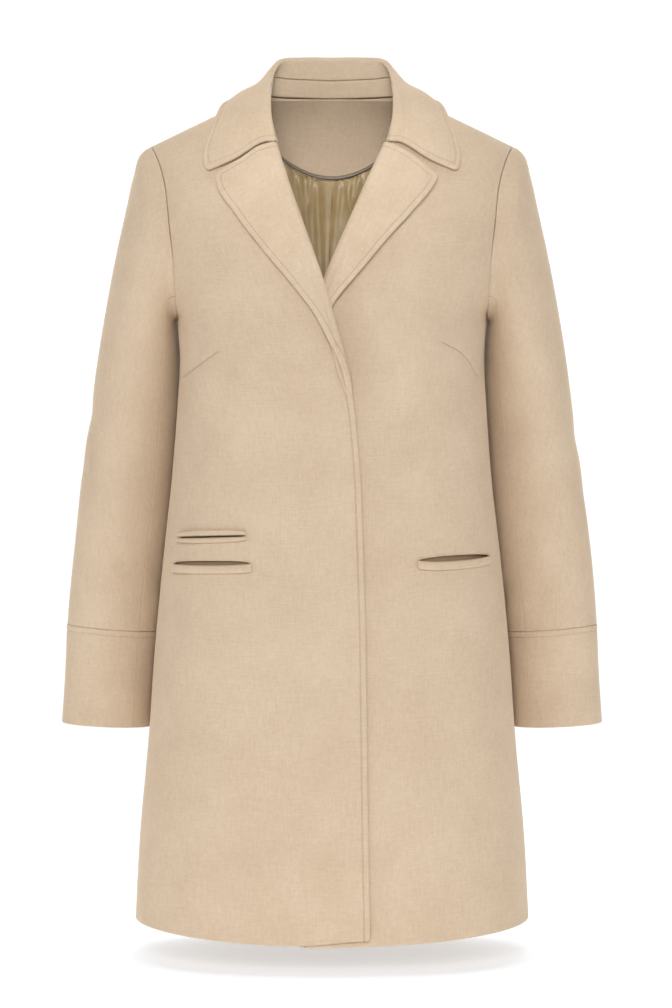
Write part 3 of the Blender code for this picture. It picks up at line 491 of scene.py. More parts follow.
BACK_FOLDS = table(  # loose lengthwise folds below the shoulder blades, and short ones at the waist
    FOLD,
    (0.150, 0.52, 84, 0.26, 0.030, 0.0030),
    (0.235, 0.60, 92, 0.30, 0.026, -0.0022),
    (0.330, 0.50, 97, 0.24, 0.032, 0.0034),
    (0.070, 0.30, 78, 0.20, 0.024, 0.0026),
    (0.410, 0.26, 103, 0.18, 0.022, 0.0024),
    (0.240, 0.20, 90, 0.22, 0.036, 0.0020),
    (0.120, 0.72, 12, 0.07, 0.012, 0.0016),
    (0.370, 0.745, -9, 0.06, 0.011, 0.0014),
)
back_half, low_rows = body_points(1, column_turns(np.array([0, OPEN_STEP])))
back_out = body_normals(back_half, low_rows, 1, True)
back_half[..., 1] = np.maximum(back_half[..., 1], GAP / 2)
back = sew(
    "back_panel",
    mirrored(back_half),
    mirrored(back_out),
    COAT_WALL,
    free=["top"],
    seams=["left", "right", "bottom"],
    folds=BACK_FOLDS,
)
settle(
    back, camel, "back", "wool", flat=(0.56, 0.94), area=0.433, held="hung", rests_on=["collar_stand_piece"]
)

# ============================================================ the two fronts
# Camel wool coating, with a bust dart sewn in from each armhole side. The right front laps over the
# left, with a row of stitches along its free edge. Pocket mouths are cut through before they are bound.
BREAK_Z = -0.335  # the lapel begins to turn here
SETBACK, SETBACK_REACH, SETBACK_BEFORE = 0.0046, 0.030, 0.3
NECK_FRONT_Z = -0.009
FRONT_EDGE = table(
    "z right left",
    (-0.0090, 0.0750, 0.0750),
    (-0.0450, 0.0650, 0.0640),
    (-0.0715, 0.0595, 0.0565),
    (-0.1148, 0.0465, 0.0372),
    (-0.1626, 0.0300, 0.0165),
    (-0.2174, 0.0110, -0.0072),
    (-0.2711, -0.0047, -0.0210),
    (-0.3262, -0.0191, -0.0285),
    (-0.4020, -0.0282, -0.0300),
    (-0.4963, -0.0324, -0.0310),
    (-0.7926, -0.0376, -0.0330),
    (-0.8970, -0.0393, -0.0340),
)
UNDERLAP = table(
    "z depth",
    (-0.060, 0.0),
    (-0.120, 0.0006),
    (-0.190, 0.0090),
    (-0.330, 0.0090),
    (-0.400, 0.0040),
    (-0.460, 0.0038),
    (-0.600, 0.0038),
    (-0.897, 0.0038),
)
UNDERLAP_MARGIN, UNDERLAP_REACH = 0.005, 0.045
DART = {  # the bust dart's seam as it shows from the front: x and z on the front's own side
    "right": ((0.1196, 0.1385, 0.1570), (-0.2910, -0.3030, -0.3138)),
    "left": ((0.1155, 0.1434, 0.1524), (-0.2812, -0.2993, -0.3134)),
}
DART_FADE = 0.004
FRONT_FOLDS = {  # across from the front edge, and up from the hem
    "right": table(
        FOLD,
        (0.090, 0.30, 86, 0.24, 0.026, 0.0018),
        (0.165, 0.24, 95, 0.22, 0.022, -0.0014),
        (0.215, 0.33, 98, 0.20, 0.020, 0.0020),
        (0.200, 0.640, 20, 0.050, 0.012, 0.0013),
        (0.205, 0.560, 62, 0.070, 0.016, 0.0014),
        (0.060, 0.50, 80, 0.16, 0.024, 0.0010),
    ),
    "left": table(
        FOLD,
        (0.100, 0.26, 94, 0.25, 0.028, 0.0018),
        (0.175, 0.30, 84, 0.22, 0.022, -0.0013),
        (0.225, 0.28, 80, 0.20, 0.020, 0.0021),
        (0.210, 0.650, 18, 0.050, 0.013, 0.0014),
        (0.205, 0.550, 60, 0.080, 0.016, 0.0015),
        (0.080, 0.56, 100, 0.14, 0.022, 0.0010),
    ),
}
CORNER_CURL = 0.0075  # the upper front's lower corner has drawn up a little


def underlap(side, x, z):
    """How far the left front lies back under the right one."""
    if side == "right":
        return np.zeros(np.broadcast(x, z).shape)
    full = UNDERLAP_MARGIN - read(FRONT_EDGE, "z", "right", z)
    return smooth_step(1 - (x - full) / UNDERLAP_REACH) * read(UNDERLAP, "z", "depth", z)


def on_front(side, x, z, lift):
    """A point on a front, given on its own side, and so far out from its face."""
    return lifted(x, -over_shoulder(x, z), lift - underlap(side, x, z))


def to_side(side, grid):
    """Points are worked out on the wearer's left, at +X, and the right ones mirrored."""
    return grid * (np.array([-1, 1, 1]) if side == "right" else 1)


def dart_seam(points, line):
    """Signed distance from a dart's seam, seen from the front, and how much of it is there."""
    x, z = points[..., 0], points[..., 2]
    keys, heights = np.array(line)
    slope = (heights[-1] - heights[0]) / (keys[-1] - keys[0])
    off = (z - spline(keys, heights, x)) / math.hypot(1, slope)
    return off, smooth_step((x - keys[0]) / DART_FADE + 1) * smooth_step((keys[-1] - x) / DART_FADE + 1)


camel_front = wool("brushed camel wool coating, darted", CAMEL_LIGHT, CAMEL_DEEP, with_dart=True)
front_pieces = {}
for side in ("right", "left"):

    def closing_edge(z, side=side):
        back_by = SETBACK * smooth_step((z - BREAK_Z) / SETBACK_REACH + SETBACK_BEFORE)
        return read(FRONT_EDGE, "z", side, z) + back_by

    grid, low_rows = body_points(-1, column_turns(EDGE_PLACES), closing_edge, NECK_FRONT_Z)
    out = body_normals(grid, low_rows, -1, False)
    dart, dart_on = dart_seam(grid, DART[side])
    grid = grid - out * underlap(side, grid[..., 0], grid[..., 2])[..., None]
    grid[..., 1] = np.minimum(grid[..., 1], -GAP / 2)
    if side == "right":
        near = np.exp(-((arc(grid, 1) / 0.055) ** 2) - (arc(grid, 0) / 0.040) ** 2)[..., None]
        grid = grid + near * np.array([0, -0.0022, CORNER_CURL])
    pinch = (0.0011 * dart_on * np.exp(-((dart / 0.0035) ** 2)))[..., None]
    grid = grid - out * pinch
    side_reach = np.concatenate([[1.0] * (low_rows - 1), [0.0] * (len(grid) - low_rows + 1), [0.0] * 3])
    front = sew(
        f"front_{side}_panel",
        to_side(side, grid),
        to_side(side, out),
        COAT_WALL,
        free=["top", "left"],
        seams=["right", "bottom"],
        tucks=[("bottom", 1.0), ("right", side_reach)],
        stitched=["left"],
        puff=0.0007,
        corners=[("top", "left", 0.004)],
        folds=FRONT_FOLDS[side],
        more={"dart": dart, "dart_on": dart_on},
    )
    settle(
        front, camel_front, f"front_{side}", "wool",
        flat=(0.33, 0.96), area=0.234, held="hung", rests_on=["back_panel"],
    )
    front_pieces[side] = front

# ============================================================ the pocket mouths, lips and pocket cloth
# The ticket pocket has two narrow lips, and each hand pocket one welt under its mouth: folded strips
# of the same wool, sewn round the slit. Behind each slit hangs the pocket's own brown cotton twill.
Mouth = namedtuple("Mouth", "side x_inner x_outer z droop high")
MOUTHS = {  # the slit: its ends, the height of its middle, how far its outer end sinks, and how tall
    "ticket": Mouth("right", 0.0905, 0.1600, -0.4830, 0.0012, 0.0036),
    "pocket_right": Mouth("right", 0.0850, 0.1660, -0.5110, 0.0006, 0.0062),
    "pocket_left": Mouth("left", 0.0892, 0.1650, -0.5060, -0.0022, 0.0074),
}
Strip = namedtuple("Strip", "mouth x_inner x_outer top bottom end_top end_bottom")
STRIPS = {  # each lip's upper and lower line from the slit's middle line, in its middle and at its ends
    "ticket_lip_upper": Strip("ticket", 0.0880, 0.1615, 0.0072, 0.0008, 0.0048, 0.0004),
    "ticket_lip_lower": Strip("ticket", 0.0880, 0.1615, -0.0010, -0.0068, -0.0008, -0.0048),
    "pocket_welt_right": Strip("pocket_right", 0.0825, 0.1675, -0.0018, -0.0108, -0.0002, -0.0096),
    "pocket_welt_left": Strip("pocket_left", 0.0880, 0.1660, -0.0020, -0.0112, 0.0010, -0.0082),
}
CLOTH_NAMES = {  # each pocket's cloth, and the solid that it stands for
    "ticket": ("ticket_pocket_cloth", "ticket_backing"),
    "pocket_right": ("pocket_cloth_right", "pocket_backing_right"),
    "pocket_left": ("pocket_cloth_left", "pocket_backing_left"),
}
LIP_WALL = 0.0034
LIP_CORNERS = (("top", 0.0022), ("bottom", 0.0040))
CUT_FROM_TO = (-0.165, -0.045)  # the slits are cut through between these, front to back
CLOTH_MARGIN = 0.006  # the pocket cloth reaches past the slit's ends by this
CLOTH_FROM_TO = (0.011, -0.016)  # and above and below its middle by this
CLOTH_DEPTH, CLOTH_WAVE, CLOTH_WAVE_LENGTH = 0.0038, 0.0006, 0.004
MOUTH_BLUNT, MOUTH_ROUND = 3.0, 0.6  # powers that give the slit's pointed oval


def cotton(name, light, deep):
    """Cotton twill for pockets: fine diagonal ribs, a little over 1 mm apart so that they show."""
    material, tree, shader = new_material(name, {"Roughness": 0.85, "Specular IOR Level": 0.2})
    grain = add(tree, "UVMap", {"uv_map": "cut"}).outputs["UV"]
    turned = add(tree, "Mapping", {"Rotation": (0, 0, 1.1)}, {"Vector": grain}).outputs[0]
    ribs = add(tree, "TexWave", {"Scale": 260.0, "Distortion": 0.6, "Detail": 1.0}, {"Vector": turned})
    colours = {"data_type": "RGBA", 6: linear(deep), 7: linear(light)}
    mixed = add(tree, "Mix", colours, {0: ribs.outputs["Fac"]})
    tree.links.new(mixed.outputs[2], shader.inputs["Base Color"])
    bump = add(tree, "Bump", {"Strength": 0.4, "Distance": 0.0002}, {"Height": ribs.outputs["Fac"]})
    tree.links.new(bump.outputs["Normal"], shader.inputs["Normal"])
    return material


pocket_twill = cotton("brown cotton pocket twill", "#B0967A", "#8A7052")


def slit_line(mouth, share):
    """Height of the slit's middle line, from its inner end to its outer end."""
    return mouth.z - mouth.droop * (share - 0.5) * 2


for name, mouth in MOUTHS.items():
    share = np.linspace(0, 1, 33)
    tall = mouth.high / 2 * np.maximum(1 - np.abs(2 * share - 1) ** MOUTH_BLUNT, 0) ** MOUTH_ROUND
    x = mouth.x_inner + (mouth.x_outer - mouth.x_inner) * share
    middle = slit_line(mouth, share)
    line = [*zip(x, middle + tall), *[*zip(x, middle - tall)][-2:0:-1]]
    rings = [to_side(mouth.side, np.array([(px, y, pz) for px, pz in line])) for y in CUT_FROM_TO]
    count = len(line)
    faces = [list(range(count)), list(range(2 * count - 1, count - 1, -1))]
    faces += [[(i + 1) % count, i, i + count, (i + 1) % count + count] for i in range(count)]
    cutter_mesh = bpy.data.meshes.new("cutter")
    cutter_mesh.from_pydata(np.concatenate(rings).tolist(), [], faces)
    shape = bmesh.new()
    shape.from_mesh(cutter_mesh)
    bmesh.ops.recalc_face_normals(shape, faces=shape.faces)
    shape.to_mesh(cutter_mesh)
    shape.free()
    cutter = bpy.data.objects.new("cutter", cutter_mesh)
    bpy.context.scene.collection.objects.link(cutter)
    bpy.ops.object.select_all(action="DESELECT")
    front = front_pieces[mouth.side]
    bpy.context.view_layer.objects.active = front
    cut = front.modifiers.new("mouth", "BOOLEAN")
    cut.object, cut.operation, cut.solver = cutter, "DIFFERENCE", "EXACT"
    bpy.ops.object.modifier_apply(modifier=cut.name)
    bpy.data.objects.remove(cutter)
    inner_x, outer_x = mouth.x_inner - CLOTH_MARGIN, mouth.x_outer + CLOTH_MARGIN
    across, down = np.meshgrid(np.linspace(inner_x, outer_x, 30), np.linspace(*CLOTH_FROM_TO, 14))
    behind = CLOTH_DEPTH + CLOTH_WAVE * np.cos(down / CLOTH_WAVE_LENGTH)
    face = on_front(mouth.side, across, mouth.z + down, -behind)
    titles = CLOTH_NAMES[name]
    backing = sew(
        titles[0],
        to_side(mouth.side, face),
        unit(face * [1, 1, 0]) * ([-1, 1, 1] if mouth.side == "right" else 1),
        0.0010,
        free=ALL_ROUND,
    )
    flat = (round(outer_x - inner_x + 0.008, 3), 0.027)
    settle(backing, pocket_twill, titles[1], "pocket_cloth", flat=flat, held="hung", rests_on=[front.name])

for name, strip in STRIPS.items():
    mouth = MOUTHS[strip.mouth]
    length = strip.x_outer - strip.x_inner
    share = spread(length, EDGE_PLACES[:6], EDGE_PLACES[:6], 0.0022)[:, None] / length
    bow = np.clip(1 - np.abs(2 * share - 1) ** 3, 0, 1)
    middle = slit_line(mouth, share)
    high = middle + strip.end_top + (strip.top - strip.end_top) * bow
    low = middle + strip.end_bottom + (strip.bottom - strip.end_bottom) * bow
    tall = abs(strip.top - strip.bottom)
    open_places = np.linspace(0.0022, tall - 0.0022, 6)
    place = np.concatenate([EDGE_PLACES[:5], open_places, tall - EDGE_PLACES[4::-1]]) / tall
    x = strip.x_inner + length * share + 0 * place
    z = high + (low - high) * place
    swell = LIP_WALL + 0.0010 * np.sin(math.pi * place) + 0 * share
    swell = swell - 0.0016 * (1 - np.clip(np.minimum(share, 1 - share) * length / 0.007, 0, 1)) ** 2
    face = on_front(mouth.side, x, z, swell)
    base = on_front(mouth.side, x, z, swell * 0)
    lip = sew(
        name + "_strip",
        to_side(mouth.side, face),
        to_side(mouth.side, unit(face - base)),
        swell - 0.0004,
        free=ALL_ROUND,
        seams=["bottom", "left", "right"],
        corners=[(end, side, radius) for end, radius in LIP_CORNERS for side in ("left", "right")],
    )
    flat, area = (round(length + 0.006, 3), 0.012), round(length * (tall + 0.001), 5)
    seat = front_pieces[mouth.side].name
    settle(lip, camel, name, "wool", flat=flat, area=area, held="folded", rests_on=[seat])

# ============================================================ the sleeves and cuffs
# Two-piece sleeves of the same wool, an upper and an under piece, eased into the armhole. Each ends in
# a plain sewn-on cuff band, with one row of stitches just under its seam.
SLEEVE = table(  # a ring for each row: its outer and inner points, half depth, bow in and turn in
    "out_x out_z in_x in_z depth middle_y bow power skew",
    (0.1985, -0.0685, 0.1680, -0.2508, 0.0715, 0.000, 0.0085, 0.80, 0.001),
    (0.2050, -0.0745, 0.1698, -0.2550, 0.0725, 0.001, 0.0060, 0.82, 0.003),
    (0.2113, -0.0950, 0.1687, -0.2660, 0.0725, 0.005, 0.0035, 0.86, 0.006),
    (0.2190, -0.1300, 0.1668, -0.2830, 0.0710, 0.009, 0.0015, 0.90, 0.008),
    (0.2292, -0.1750, 0.1664, -0.3040, 0.0685, 0.013, 0.0, 0.94, 0.009),
    (0.2396, -0.2250, 0.1662, -0.3310, 0.0655, 0.017, 0.0, 1.00, 0.009),
    (0.2503, -0.2880, 0.1680, -0.3680, 0.0615, 0.020, 0.0, 1.00, 0.010),
    (0.2593, -0.3500, 0.1708, -0.4080, 0.0585, 0.022, 0.0, 1.00, 0.010),
    (0.2701, -0.4230, 0.1756, -0.4590, 0.0555, 0.023, 0.0, 1.00, 0.010),
    (0.2789, -0.5000, 0.1823, -0.5200, 0.0520, 0.024, 0.0, 1.00, 0.010),
    (0.2848, -0.5780, 0.1888, -0.5870, 0.0490, 0.024, 0.0, 1.00, 0.010),
    (0.2873, -0.6300, 0.1930, -0.6380, 0.0470, 0.024, 0.0, 1.00, 0.009),
    (0.2909, -0.6840, 0.1966, -0.6900, 0.0455, 0.024, 0.0, 1.00, 0.009),
)
CUFF_RING = 11
SEAM_TURNS = {"upper": (40, 280), "under": (-80, 40)}  # degrees round from the inner side to each seam
SLEEVE_AROUND = 0.29
SLEEVE_CUT = {  # flat width and length, and the area of what is cut
    ("sleeve", "upper"): ((0.36, 0.525), 0.106),
    ("sleeve", "under"): ((0.18, 0.42), 0.043),
    ("cuff", "upper"): ((0.20, 0.106), 0.021),
    ("cuff", "under"): ((0.10, 0.106), 0.0105),
}
SLEEVE_FOLDS = {
    "right_upper": table(
        FOLD,
        (0.060, 0.070, 100, 0.060, 0.013, 0.0016),
        (0.120, 0.300, 28, 0.060, 0.016, 0.0018),
        (0.060, 0.345, 14, 0.055, 0.013, 0.0015),
        (0.105, 0.420, 80, 0.120, 0.020, 0.0016),
        (0.045, 0.180, 75, 0.100, 0.016, 0.0014),
    ),
    "right_under": table(
        FOLD,
        (0.050, 0.300, -18, 0.050, 0.013, 0.0022),
        (0.045, 0.360, 12, 0.050, 0.012, 0.0018),
    ),
    "left_upper": table(
        FOLD,
        (0.070, 0.075, 96, 0.070, 0.014, 0.0015),
        (0.110, 0.320, 24, 0.060, 0.017, 0.0017),
        (0.055, 0.370, 16, 0.050, 0.014, 0.0016),
        (0.095, 0.230, 84, 0.130, 0.019, 0.0015),
        (0.125, 0.440, 78, 0.110, 0.018, 0.0013),
    ),
    "left_under": table(
        FOLD,
        (0.045, 0.315, -22, 0.050, 0.012, 0.0021),
        (0.050, 0.375, 10, 0.050, 0.013, 0.0019),
    ),
}


def armhole_loop(turns):
    """Points round the armhole seam: up the front from the armpit, and down the back."""
    share = (turns % (2 * math.pi)) / math.pi
    loop = []
    for front, part in ((True, np.clip(share, 0, 1)), (False, np.clip(2 - share, 0, 1))):
        z, x = armhole(front, part)
        points = coat(x, over_shoulder(x, z) * (-1 if front else 1))
        points[..., 1] = np.where((part <= 0) | (part >= 1), 0, points[..., 1])
        loop.append(points)
    return np.where((share <= 1)[..., None], loop[0], loop[1])


def sleeve_rings(turns):
    rings = [armhole_loop(turns)]
    for ring in SLEEVE:
        middle = np.array([ring.out_x + ring.in_x, 2 * ring.middle_y, ring.out_z + ring.in_z]) / 2
        reach = np.array([ring.out_x - ring.in_x, 0, ring.out_z - ring.in_z]) / 2
        points = middle - np.cos(turns)[:, None] * reach
        points[:, 1] -= ring.depth * np.sign(np.sin(turns)) * np.abs(np.sin(turns)) ** ring.power
        points[:, 0] += ring.skew * np.sin(turns) - ring.bow * np.sin(turns) ** 2
        rings.append(points)
    return np.array(rings)


for side in ("right", "left"):
    whole = sleeve_rings(np.linspace(0, 2 * math.pi, 73)[:-1])
    steps = np.linalg.norm(np.diff(whole, axis=0), axis=2).mean(axis=1)
    knots = np.concatenate([[0], np.cumsum(steps)])
    for piece, ends in SEAM_TURNS.items():
        first, last = [math.radians(e) for e in ends]
        width = (last - first) / (2 * math.pi) * SLEEVE_AROUND
        turns = first + spread(width, SEAM_PLACES, SEAM_PLACES) / width * (last - first)
        before, beyond = turns - 0.02, turns + 0.02
        for name, start, stop in (("sleeve", 0, CUFF_RING), ("cuff", CUFF_RING, len(knots) - 1)):
            length = knots[stop] - knots[start]
            if name == "sleeve":
                rows = knots[start] + spread(length, SEAM_PLACES, SEAM_PLACES)
                rows = rows + SEAM_GAP * np.linspace(1.5, -0.5, len(rows))
            else:
                rows = spread(length - SEAM_GAP / 2, EDGE_PLACES, EDGE_PLACES[:7])
                rows = knots[start] + SEAM_GAP / 2 + rows
            grid = spline(knots, sleeve_rings(turns), rows)
            round_it = spline(knots, sleeve_rings(beyond), rows) - spline(knots, sleeve_rings(before), rows)
            out = unit(np.cross(np.gradient(grid, axis=0), round_it))
            middle = spline(knots, whole.mean(axis=1), rows)[:, None]
            if (out * (grid - middle)).sum() < 0:
                out = -out
            settings = {"tucks": [("top", 1.0)] + [("left", 1.0), ("right", 1.0)] * (piece == "under")}
            if name == "sleeve":
                settings.update(seams=ALL_ROUND, folds=SLEEVE_FOLDS[f"{side}_{piece}"])
                seat = f"front_{side}_panel"
            else:
                settings.update(free=["bottom"], seams=["top", "left", "right"])
                settings.update(stitched=["top"], puff=0.0004)
                seat = f"sleeve_{side}_{piece}_piece"
            flat, area = SLEEVE_CUT[name, piece]
            title = f"{name}_{side}_{piece}"
            cloth = sew(title + "_piece", to_side(side, grid), to_side(side, out), COAT_WALL, **settings)
            settle(
                cloth, camel, title, "wool",
                flat=flat, area=area, held="hung", rests_on=[seat],
            )

# ============================================================ the lapels
# Each front's facing turned out over it along the roll line: two layers of the wool pressed together,
# soft and thick, with a rolled fold, a rounded point and a row of stitches inside the edge.
EDGE_WALL = 0.0034
LAPEL_EDGE = {
    "right": table(
        "x z",
        (0.1185, -0.1050),
        (0.1190, -0.1140),
        (0.1000, -0.1480),
        (0.0735, -0.1840),
        (0.0452, -0.2190),
        (0.0175, -0.2560),
        (0.0041, -0.2813),
        (-0.0062, -0.2998),
        (-0.0134, -0.3214),
        (-0.0163, -0.3420),
        (-0.0180, -0.3560),
    ),
    "left": table(
        "x z",
        (0.1095, -0.1095),
        (0.1045, -0.1190),
        (0.0815, -0.1480),
        (0.0560, -0.1770),
        (0.0300, -0.2090),
        (0.0000, -0.2450),
        (-0.0150, -0.2900),
        (-0.0190, -0.3120),
    ),
}
LAPEL_TOP = {
    "right": table(
        "x z",
        (0.0595, -0.0735),
        (0.0760, -0.0795),
        (0.0920, -0.0915),
        (0.1185, -0.1050),
    ),
    "left": table(
        "x z",
        (0.0555, -0.0745),
        (0.0730, -0.0835),
        (0.0900, -0.0960),
        (0.1095, -0.1095),
    ),
}
LEAST_WIDTH = 0.005
LAPEL_FADE = {"right": (-0.312, -0.350), "left": (-0.250, -0.290)}  # it sinks into the front here
SUNK, SUNK_INSET, SUNK_WALL = -0.0012, 0.0012, 0.35
LAPEL_EASE = {"right": 0.0007, "left": 0.0030}
FOLD_WALL = 0.0022
LAPEL_PUFF, LAPEL_PUFF_WIDTH = 0.0022, 0.050
LAPEL_LENGTH, LAPEL_WIDTH, LAPEL_STEP = 0.255, 0.075, 0.0034  # for spacing its rows and columns


def through(line, at):
    """The smooth line through a table's points, read at shares of its length."""
    points = np.array([[row.x, row.z] for row in line])
    lengths = np.linalg.norm(np.diff(points, axis=0), axis=1)
    return spline(np.concatenate([[0], np.cumsum(lengths)]) / lengths.sum(), points, at)


for side in ("right", "left"):
    rows = spread(LAPEL_LENGTH, EDGE_PLACES, EDGE_PLACES[:5], 0.0036)[:, None] / LAPEL_LENGTH
    start, stop = LAPEL_TOP[side][0].z, LAPEL_EDGE[side][-1].z
    fold_z = start + (stop - start) * rows[:, 0]
    fold = np.stack([read(FRONT_EDGE, "z", side, fold_z), fold_z], axis=-1)
    outer_edge = through(LAPEL_EDGE[side], rows[:, 0])
    outer_edge[:, 0] = np.maximum(outer_edge[:, 0], fold[:, 0] + LEAST_WIDTH)
    fade_from, fade_to = LAPEL_FADE[side]
    whole = 1 - smooth_step((fade_from - fold_z) / (fade_from - fade_to))[:, None]
    fold[:, 0] += SUNK_INSET * (1 - whole[:, 0])
    rise = SUNK + (EDGE_WALL + GAP + LAPEL_EASE[side] - SUNK) * whole
    radius = (rise + COAT_WALL) / 2
    bend = np.radians(np.linspace(-88, 90, 15))
    width = np.linalg.norm(outer_edge - fold, axis=1)[:, None]
    opened = spread(LAPEL_WIDTH, np.array([0.0]), EDGE_PLACES, LAPEL_STEP) / LAPEL_WIDTH
    begin = np.minimum(radius * 1.25 / width, 0.6)
    share = begin + (1 - begin) * opened
    flat = fold[:, None] + (outer_edge - fold)[:, None] * share[..., None]
    first = fold[0] + (outer_edge[0] - fold[0]) * share[0][:, None]
    pull = through(LAPEL_TOP[side], share[0]) - first
    flat = flat + pull * ((1 - rows) ** 3)[..., None]
    puffed = LAPEL_PUFF * np.sin(math.pi * opened) ** 2 * np.minimum(width / LAPEL_PUFF_WIDTH, 1) * whole
    meet = flat[:, :1]
    bend_x = meet[..., 0] - (meet[..., 0] - fold[:, :1]) * np.cos(bend)
    bend_z = meet[..., 1] + (fold[:, 1:] - meet[..., 1]) * np.cos(bend)
    bend_lift = (rise - COAT_WALL) / 2 + radius * np.sin(bend)
    x = np.concatenate([bend_x[:, :-1], flat[..., 0]], axis=1)
    z = np.concatenate([bend_z[:, :-1], flat[..., 1]], axis=1)
    lift = np.concatenate([bend_lift[:, :-1], rise + puffed], axis=1)
    grid = on_front(side, x, z, lift)
    out = -normals(grid)
    thicker = FOLD_WALL + (EDGE_WALL - FOLD_WALL) * smooth_step(opened * 6)
    wall = np.concatenate([np.full(len(bend) - 1, FOLD_WALL), thicker])
    lapel = sew(
        f"lapel_{side}_turned",
        to_side(side, grid),
        to_side(side, out),
        wall * (SUNK_WALL + (1 - SUNK_WALL) * whole),
        free=["top", "right", "bottom"],
        stitched=["top", "right"],
        puff=0.0008,
        corners=[("top", "right", 0.006)],
    )
    settle(
        lapel, camel, f"lapel_{side}", "wool",
        flat=(0.085, 0.30), area=0.0150, held="folded", rests_on=[f"front_{side}_panel"],
    )

# ============================================================ the collar
# A stand, sewn up from the neckline, and a leaf sewn to its top that turns over and lies on the coat.
# The leaf is two layers of wool, pressed and stitched round its edge, with rounded points.
STAND_WALL = 0.0020
STAND_INSET = 0.0010
NECK_SHOULDER_AT = 0.5
NECK_GORGE_Z = -0.0715
ROLL_LINE = table(
    "at x y z",
    (0.0, 0.0000, 0.0530, 0.0395),
    (0.2, 0.0310, 0.0495, 0.0390),
    (0.35, 0.0530, 0.0390, 0.0350),
    (0.45, 0.0600, 0.0180, 0.0235),
    (0.6, 0.0630, -0.0100, 0.0055),
    (0.75, 0.0648, -0.0500, -0.0170),
    (0.9, 0.0635, -0.0810, -0.0480),
    (1.0, 0.0597, -0.0950, -0.0704),
)
COLLAR_EDGE = table(
    "at x v rise",
    (0.0, 0.0000, 0.0990, 0.006),
    (0.2, 0.0450, 0.0829, 0.006),
    (0.4, 0.0880, 0.0547, 0.007),
    (0.52, 0.1000, 0.0316, 0.008),
    (0.62, 0.1100, 0.0000, 0.008),
    (0.8, 0.1230, -0.0640, 0.008),
    (0.93, 0.1330, -0.1030, 0.007),
    (1.0, 0.1300, -0.1200, 0.006),
)
STAND_JOINT = table(
    "at share gap",
    (0.00, 0.44, 0.0004),
    (0.25, 0.465, 0.0004),
    (0.45, 0.50, 0.0006),
    (0.60, 0.16, 0.0012),
    (0.75, 0.16, 0.0021),
    (0.88, 0.16, 0.0012),
    (1.00, 0.16, 0.0003),
)
COLLAR_BULGE = 0.0045
LEAF_THICKENS = 0.014  # the leaf has its whole thickness this far from its seam
COLLAR_DIP, COLLAR_DIP_FROM = 0.0045, 0.8
ROLL_WIDTH, ROLL_WIDTH_GORGE = 0.0105, 0.0092
ROLL_FLATTENS, ROLL_CREST, ROLL_INSIDE, ROLL_DROP = 0.25, 0.0008, 0.0020, 0.0025
COLLAR_LENGTH = 0.20  # from the centre back to the gorge


def both_sides(grid):
    """A half, from the centre back outwards, joined to its mirrored other half."""
    return np.concatenate([grid[::-1] * [-1, 1, 1], grid[1:]])


at = spread(COLLAR_LENGTH, np.array([0.0]), EDGE_PLACES, 0.0034) / COLLAR_LENGTH
roll = np.stack([read(ROLL_LINE, "at", key, at) for key in ("x", "y", "z")], axis=-1)
turn = np.clip(at / NECK_SHOULDER_AT, 0, 1) * math.pi / 2
behind = coat(NECK_X * np.sin(turn), neckline(NECK_X * np.sin(turn)))
down_front = NECK_FRONT_Z + (NECK_GORGE_Z - NECK_FRONT_Z) * (at - NECK_SHOULDER_AT) / (1 - NECK_SHOULDER_AT)
front_x = read(FRONT_EDGE, "z", "left", down_front)
foot = np.where(at[:, None] > NECK_SHOULDER_AT, coat(front_x, -over_shoulder(front_x, down_front)), behind)
foot = foot - unit(foot * [1, 1, 0]) * STAND_INSET + [0, 0, 2 * GAP]
joint = foot + (roll - foot) * read(STAND_JOINT, "at", "share", at)[:, None]
edge_line = lifted(*[read(COLLAR_EDGE, "at", column, at) for column in ("x", "v", "rise")])
outwards = unit((edge_line - roll) * [1, 1, 0])
rounded = smooth_step((1 - at) / ROLL_FLATTENS)[:, None]
across_roll = ROLL_WIDTH + (ROLL_WIDTH_GORGE - ROLL_WIDTH) * (1 - rounded)
up = np.array([0, 0, 1]) * rounded
crest = roll + outwards * across_roll / 2 + up * ROLL_CREST
beyond = roll + outwards * across_roll - up * ROLL_DROP
bulge_out = unit(np.cross(np.gradient(edge_line, axis=0), edge_line - roll))
middle = (beyond + edge_line) / 2 + bulge_out * COLLAR_BULGE
middle[:, 2] -= COLLAR_DIP * smooth_step((at - COLLAR_DIP_FROM) / (1 - COLLAR_DIP_FROM))
rise = joint + (roll - joint) * 0.6
apart = read(STAND_JOINT, "at", "gap", at)[:, None] / 2
leaf_foot = joint + unit(rise - joint) * apart
section = np.array([leaf_foot, rise, roll - up * ROLL_INSIDE, crest, beyond, middle, edge_line])
knots = np.concatenate([[0], np.cumsum(np.linalg.norm(np.diff(section, axis=0), axis=2).mean(axis=1))])
leaf = spline(knots, section, spread(knots[-1], SEAM_PLACES, EDGE_PLACES, 0.0026)).swapaxes(0, 1)
leaf = both_sides(leaf)
leaf_out = normals(leaf)
if leaf_out[len(leaf) // 2, 0, 1] > 0:
    leaf_out = -leaf_out
leaf_wall = STAND_WALL + (EDGE_WALL - STAND_WALL) * smooth_step(arc(leaf, 1) / LEAF_THICKENS)
collar = sew(
    "collar_leaf_turned",
    leaf,
    leaf_out,
    leaf_wall,
    free=["top", "bottom", "right"],
    seams=["left"],
    stitched=["top", "bottom", "right"],
    puff=0.0008,
    corners=[("top", "right", 0.006), ("bottom", "right", 0.006)],
)
settle(
    collar, camel, "collar_leaf", "wool",
    flat=(0.57, 0.110), area=0.0425, held="folded", rests_on=["collar_stand_piece"],
)

